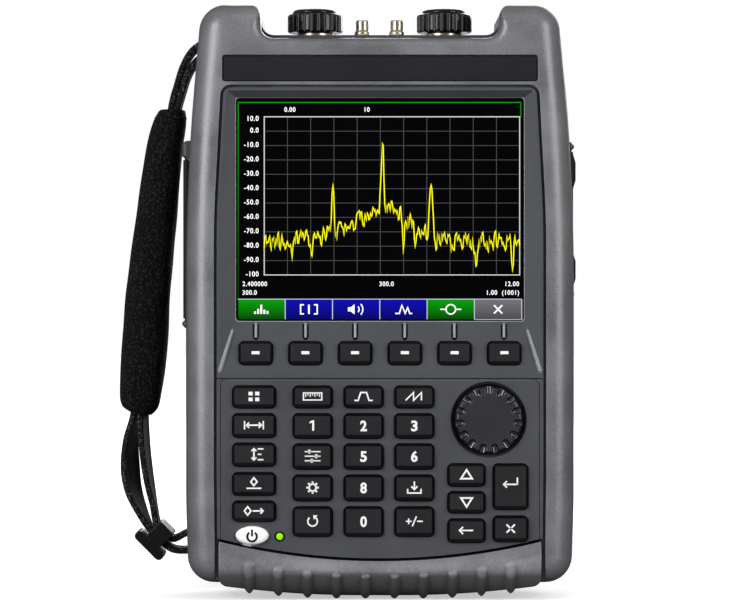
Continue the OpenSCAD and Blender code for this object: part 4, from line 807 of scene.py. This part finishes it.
# Each turned body has a group, its x and base, the points round it, and a profile of radii and heights.
PORT_X, JACK_X, PORT_Y = 31.7, 8.5, -2.0
DECK, NUT_TOP = 274.1, 275.8
PORT_TOP, JACK_TOP, TAIL_LOW = 285.3, 282.3, 261.7
JACK_THREAD = thread(3.175, 0.09, 0.706, NUT_TOP + 1.7, JACK_TOP - 0.5)
PORT_THREAD = thread(7.75, 0.5, 1.058, NUT_TOP + 0.4, PORT_TOP - 0.8)
shell, white, pins = [], [], []
TURNED = [
    (shell, JACK_X, 0, 48, [
        (2.4, TAIL_LOW), (2.4, DECK), (4.4, DECK), (4.4, DECK + 0.5), (4.1, DECK + 1.0), (3.8, NUT_TOP),
        (3.75, NUT_TOP + 0.7), (3.4, NUT_TOP + 1.3), (3.0, NUT_TOP + 1.6), *JACK_THREAD,
        (2.9, JACK_TOP), (2.3, JACK_TOP), (2.3, JACK_TOP - 1.9)]),
    (white, JACK_X, JACK_TOP, 32, [(2.28, -2.2), (2.28, -1.4), (0.75, -1.4), (0.75, -2.0)]),
    (pins, JACK_X, JACK_TOP, 20, [(0.62, -2.4), (0.62, -0.9), (0.45, -0.7)]),
    (shell, PORT_X, 0, 72, [
        (6.0, TAIL_LOW), (6.0, DECK), (8.9, DECK), (8.9, NUT_TOP - 0.35), (8.6, NUT_TOP), (7.2, NUT_TOP),
        *PORT_THREAD, (7.1, PORT_TOP), (5.35, PORT_TOP), (5.35, PORT_TOP - 6)]),
    (white, PORT_X, PORT_TOP, 40, [(5.3, -6.3), (5.3, -5.6), (1.6, -5.6), (1.6, -6.2)]),
    (pins, PORT_X, PORT_TOP, 24, [(1.5, -6.4), (1.5, -1.7), (1.2, -1.4), (0.8, -1.4), (0.8, -3.4)]),
]
for side in (-1, 1):
    for group, x, base, segments, rings in TURNED:
        points, faces = lathe(rings, segments)
        group.append(([(p + Vector((side * x, PORT_Y, base))) * MM for p in points], faces))
connectors = piece("coaxial_connectors", *gather(shell), nickel, "housing", "nickel")
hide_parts("rf_connectors")
piece("connector_insulators", *gather(white), insulator, "housing", "button")
piece("connector_contacts", *gather(pins), gold, "housing", "nickel")


# Hand strap: woven webbing along its route, a padded sleeve round it, and a stitched hem

STRAP_Y, WEB_W, WEB_T, BEAD = 22.0, 15.0, 3.0, 0.22
LOOP_R = 4.2
BAR_LOW, BAR_HIGH = Vector((-87, 25)), Vector((-84.5, 270))


def on_bar(bar, degrees):
    """A point of the webbing's middle line where it goes round a bar."""
    t = radians(degrees)
    return bar.x + LOOP_R * cos(t), bar.y + LOOP_R * sin(t)


# Route of the webbing: x, z and, where it is twisted, its twist in degrees
ROUTE = [Vector((*p, 0)[:3]) for p in [
    (-120.6, 104), (-121.6, 95), (-122.8, 86, 2), (-124.4, 75, 16), (-124.6, 62, 26), (-123.2, 51, 22),
    (-119.6, 41, 11), (-114.6, 31.1), (-110.5, 27), (-106.9, 23.4), (-103.4, 21), (-99, 20.2), (-93.5, 20.4),
    *(on_bar(BAR_LOW, a) for a in (-90, -30, 30, 90)),
    (-92.5, 29.8), (-96.8, 28.6), (-100.6, 26.6), (-103, 26), (-104.8, 27.3), (-107.5, 30), (-111.1, 33.6),
    (-112.9, 43), (-114.4, 50.5, -4), (-116, 60, -7), (-117.2, 70, -8), (-117.9, 80, -8), (-118.1, 88, -7),
    (-117.9, 95, -4), (-116.4, 120), (-114, 148), (-111.2, 180), (-107.9, 212), (-103.9, 240), (-100.9, 252),
    (-97.6, 262), (-93.2, 269.2), *(on_bar(BAR_HIGH, a) for a in (130, 60, -10, -75, -110)),
    (-89.8, 265.2), (-93, 261.9), (-95.9, 256.4), (-98.4, 248.6), (-100.8, 240), (-102.2, 232)]]
# Middle line of the sleeve: x, z and half its width
SLEEVE = [Vector(p) for p in [
    (-103.6, 239.8, 5.0), (-103.8, 238.9, 6.7), (-105.3, 232, 8.5), (-107.7, 219, 9.15), (-110.1, 198, 9.85),
    (-113.2, 172, 10.6), (-115.8, 145, 11.1), (-117.7, 118, 11.4), (-119.2, 100, 10.5), (-119.3, 93, 9.4),
    (-118.6, 90, 7.2), (-117.6, 87.8, 4)]]


def spline(points, steps):
    """A smooth line through the points, with that many steps between two of them."""
    line, last = [], len(points) - 1
    for i in range(last):
        a, b, c, d = points[max(0, i - 1)], points[i], points[i + 1], points[min(last, i + 2)]
        for k in range(steps):
            t = k / steps
            line.append(0.5 * (2 * b + (c - a) * t + (2 * a - 5 * b + 4 * c - d) * t * t
                               + (3 * b - a - 3 * c + d) * t ** 3))
    return line + [points[-1].copy()]


# Outline across the webbing, as (across, through) pairs, with a slightly thicker bead along each edge
half, thick = WEB_W / 2, WEB_T / 2
edge = [(half, 0.55 * thick), (half - 0.5, thick), (half - 1.3, thick), (half - 1.9, thick - BEAD)]
top = [(-a, b) for a, b in edge] + [(0, thick - BEAD)] + edge[::-1]
web_section = top + [(a, -b) for a, b in reversed(top)]
WEB_STEPS, SLEEVE_STEPS = 6, 9
web_line = spline(ROUTE, WEB_STEPS)
points, uv = [], []
run, last = 0.0, len(web_line) - 1
for i, p in enumerate(web_line):
    along = (web_line[min(last, i + 1)] - web_line[max(0, i - 1)]).xy.normalized()
    out, twist = Vector((-along.y, 0, along.x)), radians(p.z)
    width = AWAY * cos(twist) + out * sin(twist)
    through = out * cos(twist) - AWAY * sin(twist)
    run += (p - web_line[i - 1]).xy.length if i else 0.0
    for across, lift in web_section:
        points.append((Vector((p.x, STRAP_Y, p.y)) + width * across + through * lift) * MM)
        uv.append((across, run))
faces = skin(len(web_line), len(web_section))
webbing = piece("strap_webbing_woven", points, faces, web_nylon, "housing", "webbing", uv=uv)
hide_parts("strap_webbing")

# Sleeve: its depth partly follows its width; a pucker has a size, a number of folds and a lean
SLEEVE_D, SLEEVE_HALF, FOLLOW, SLEEVE_SIDES, SQUARE = 23.0, 11, 0.4, 56, 2.5
PUCKERS = [(0.012, 5, 0.11), (0.008, 3, -0.23)]
sleeve_line = spline(SLEEVE, SLEEVE_STEPS)
points = []
for s in sleeve_line:
    depth = (s.z / SLEEVE_HALF * FOLLOW + 1 - FOLLOW) * SLEEVE_D / 2
    for k in range(SLEEVE_SIDES):
        t = 2 * pi * k / SLEEVE_SIDES
        c, n = cos(t), sin(t)
        reach = (abs(c) ** SQUARE + abs(n) ** SQUARE) ** (-1 / SQUARE)
        reach *= 1 + sum(size * sin(folds * t + lean * s.y) for size, folds, lean in PUCKERS)
        points.append(Vector((s.x + s.z * c * reach, STRAP_Y + depth * n * reach, s.y)) * MM)
faces = skin(len(sleeve_line), SLEEVE_SIDES)
sleeve = piece("strap_sleeve_padded", points, faces, sleeve_knit, "housing", "sleeve")

# Hem: a thin round fold of the knit, near the sleeve's upper end
HEM_Z, HEM_R, HEM_SIDES = 235.6, 0.35, 10
at = min(range(len(sleeve_line)), key=lambda j: abs(sleeve_line[j].y - HEM_Z))
hem, faces = [], []
for k in range(SLEEVE_SIDES):
    p = points[at * SLEEVE_SIDES + k] / MM
    out = (p - Vector((sleeve_line[at].x, STRAP_Y, p.z))).normalized()
    following = (k + 1) % SLEEVE_SIDES * HEM_SIDES
    for m in range(HEM_SIDES):
        t, n = 2 * pi * m / HEM_SIDES, (m + 1) % HEM_SIDES
        hem.append((p + HEM_R * (out * cos(t) + Vector((0, 0, sin(t))))) * MM)
        faces.append([k * HEM_SIDES + m, k * HEM_SIDES + n, following + n, following + m])
piece("strap_sleeve_hems", hem, faces, hem_knit, "housing", "sleeve")
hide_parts("strap_sleeve")

# CAD nodes: joined along their shared edges and shaded smooth, except at real edges
shading = bpy.data.node_groups.new("smooth_between_edges", "GeometryNodeTree")
shading.interface.new_socket("Geometry", in_out="INPUT", socket_type="NodeSocketGeometry")
shading.interface.new_socket("Geometry", in_out="OUTPUT", socket_type="NodeSocketGeometry")
start, end = shading.nodes.new("NodeGroupInput"), shading.nodes.new("NodeGroupOutput")
faces_smooth, edges_sharp = (shading.nodes.new("GeometryNodeSetShadeSmooth") for _ in range(2))
edges_sharp.domain = "EDGE"
edges_sharp.inputs["Shade Smooth"].default_value = False
angle = shading.nodes.new("GeometryNodeInputMeshEdgeAngle")
steep = shading.nodes.new("FunctionNodeCompare")
steep.inputs["B"].default_value = SMOOTH_ANGLE
for source, made, socket in [
        (start, faces_smooth, "Geometry"), (faces_smooth, edges_sharp, "Geometry"), (angle, steep, "A"),
        (steep, edges_sharp, "Selection"), (edges_sharp, end, "Geometry")]:
    shading.links.new(source.outputs[0], made.inputs[socket])
WELD_GAP = 0.001 * MM
for part in nodes.values():
    if part.hide_render:
        continue
    part.modifiers.new("join", "WELD").merge_threshold = WELD_GAP
    part.modifiers.new("shading", "NODES").node_group = shading

# Stage: white floor that keeps the shadow, and a white surround
floor_mesh = bpy.data.meshes.new("floor")
FLOOR_HALF, FLOOR_GAP = 6000 * MM, 0.05 * MM
corners = [(x * FLOOR_HALF, y * FLOOR_HALF, 0) for x, y in ((-1, -1), (1, -1), (1, 1), (-1, 1))]
floor_mesh.from_pydata(corners, [], [(0, 1, 2, 3)])
floor = bpy.data.objects.new("floor", floor_mesh)
floor.location.z = -FLOOR_GAP
scene.collection.objects.link(floor)


def seen_directly(tree):
    """1 for what the camera sees straight or through something clear, and 0 for bounced light."""
    seen = put(tree, "LightPath").outputs
    return put(tree, "Math", {0: seen["Is Camera Ray"], 1: seen["Is Transmission Ray"]}, operation="ADD",
               use_clamp=True)


# Floor paper: matt white, which glows to the camera, most of all far away, so that only the shadow shows
NEAR, FAR = 300 * MM, 900 * MM
paper, tree = blank("paper_white")
matt = put(tree, "BsdfDiffuse", {"Color": linear("#e6e6e6")})
away = put(tree, "VectorMath", {0: put(tree, "TexCoord").outputs["Object"]}, operation="LENGTH")
glow = put(tree, "MapRange", {
    "Value": away.outputs["Value"], "From Min": NEAR, "From Max": FAR, "To Min": 0.5, "To Max": 1.0})
light = put(tree, "Emission", {"Color": (1, 1, 1, 1), "Strength": glow})
shown = put(tree, "AddShader", {0: matt, 1: light})
bounce = put(tree, "BsdfDiffuse", {"Color": linear("#6a6a6a")})
either = put(tree, "MixShader", {0: seen_directly(tree), 1: bounce, 2: shown})
put(tree, "OutputMaterial", {"Surface": either})
floor_mesh.materials.append(paper)

world = bpy.data.worlds.new("studio")
scene.world = world
world.use_nodes = True
tree = world.node_tree
tree.nodes.clear()
way = put(tree, "SeparateXYZ", {0: put(tree, "TexCoord").outputs["Generated"]})
facing = put(tree, "Math", {0: way.outputs["Y"]}, operation="ABSOLUTE")
# Soft light comes from in front of the object and from behind it, so that its sides fall off into shade
sky = put(tree, "MapRange", {"Value": facing, "To Min": 0.03, "To Max": 0.6})
soft = put(tree, "Background", {"Color": (1, 1, 1, 1), "Strength": sky})
# Gloss mirrors a pale surround at the sides, and a dim studio in front of the object and behind it
dim = put(tree, "MapRange", {
    "Value": facing, "From Min": 0.3, "From Max": 0.8, "To Min": 0.4, "To Max": 0.15})
mirrored = put(tree, "Background", {"Color": (1, 1, 1, 1), "Strength": dim})
white = put(tree, "Background", {"Color": (1, 1, 1, 1), "Strength": 1.0})
glossy = put(tree, "LightPath").outputs["Is Glossy Ray"]
lighting = put(tree, "MixShader", {0: glossy, 1: soft, 2: mirrored})
either = put(tree, "MixShader", {0: seen_directly(tree), 1: lighting, 2: white})
put(tree, "OutputWorld", {"Surface": either})

# Softboxes: place, width and height in mm, and power in watts; all of them face the middle of the body
TARGET = Vector((0, 0, 150)) * MM
LAMPS = [
    ("softbox_left", (-1230, -1260, 560), 900, 1500, 31),
    ("softbox_right", (1290, -1170, 560), 750, 1500, 20),
    ("softbox_above", (-100, -900, 1900), 1200, 700, 2),
    ("softbox_behind", (500, 1700, 900), 1400, 1000, 22),
]
for name, spot, wide, tall, watts in LAMPS:
    data = bpy.data.lights.new(name, "AREA")
    data.shape = "RECTANGLE"
    data.size, data.size_y = wide * MM, tall * MM
    data.energy = watts
    lamp = bpy.data.objects.new(name, data)
    lamp.location = Vector(spot) * MM
    lamp.rotation_euler = (TARGET - lamp.location).to_track_quat("-Z", "Y").to_euler()
    scene.collection.objects.link(lamp)
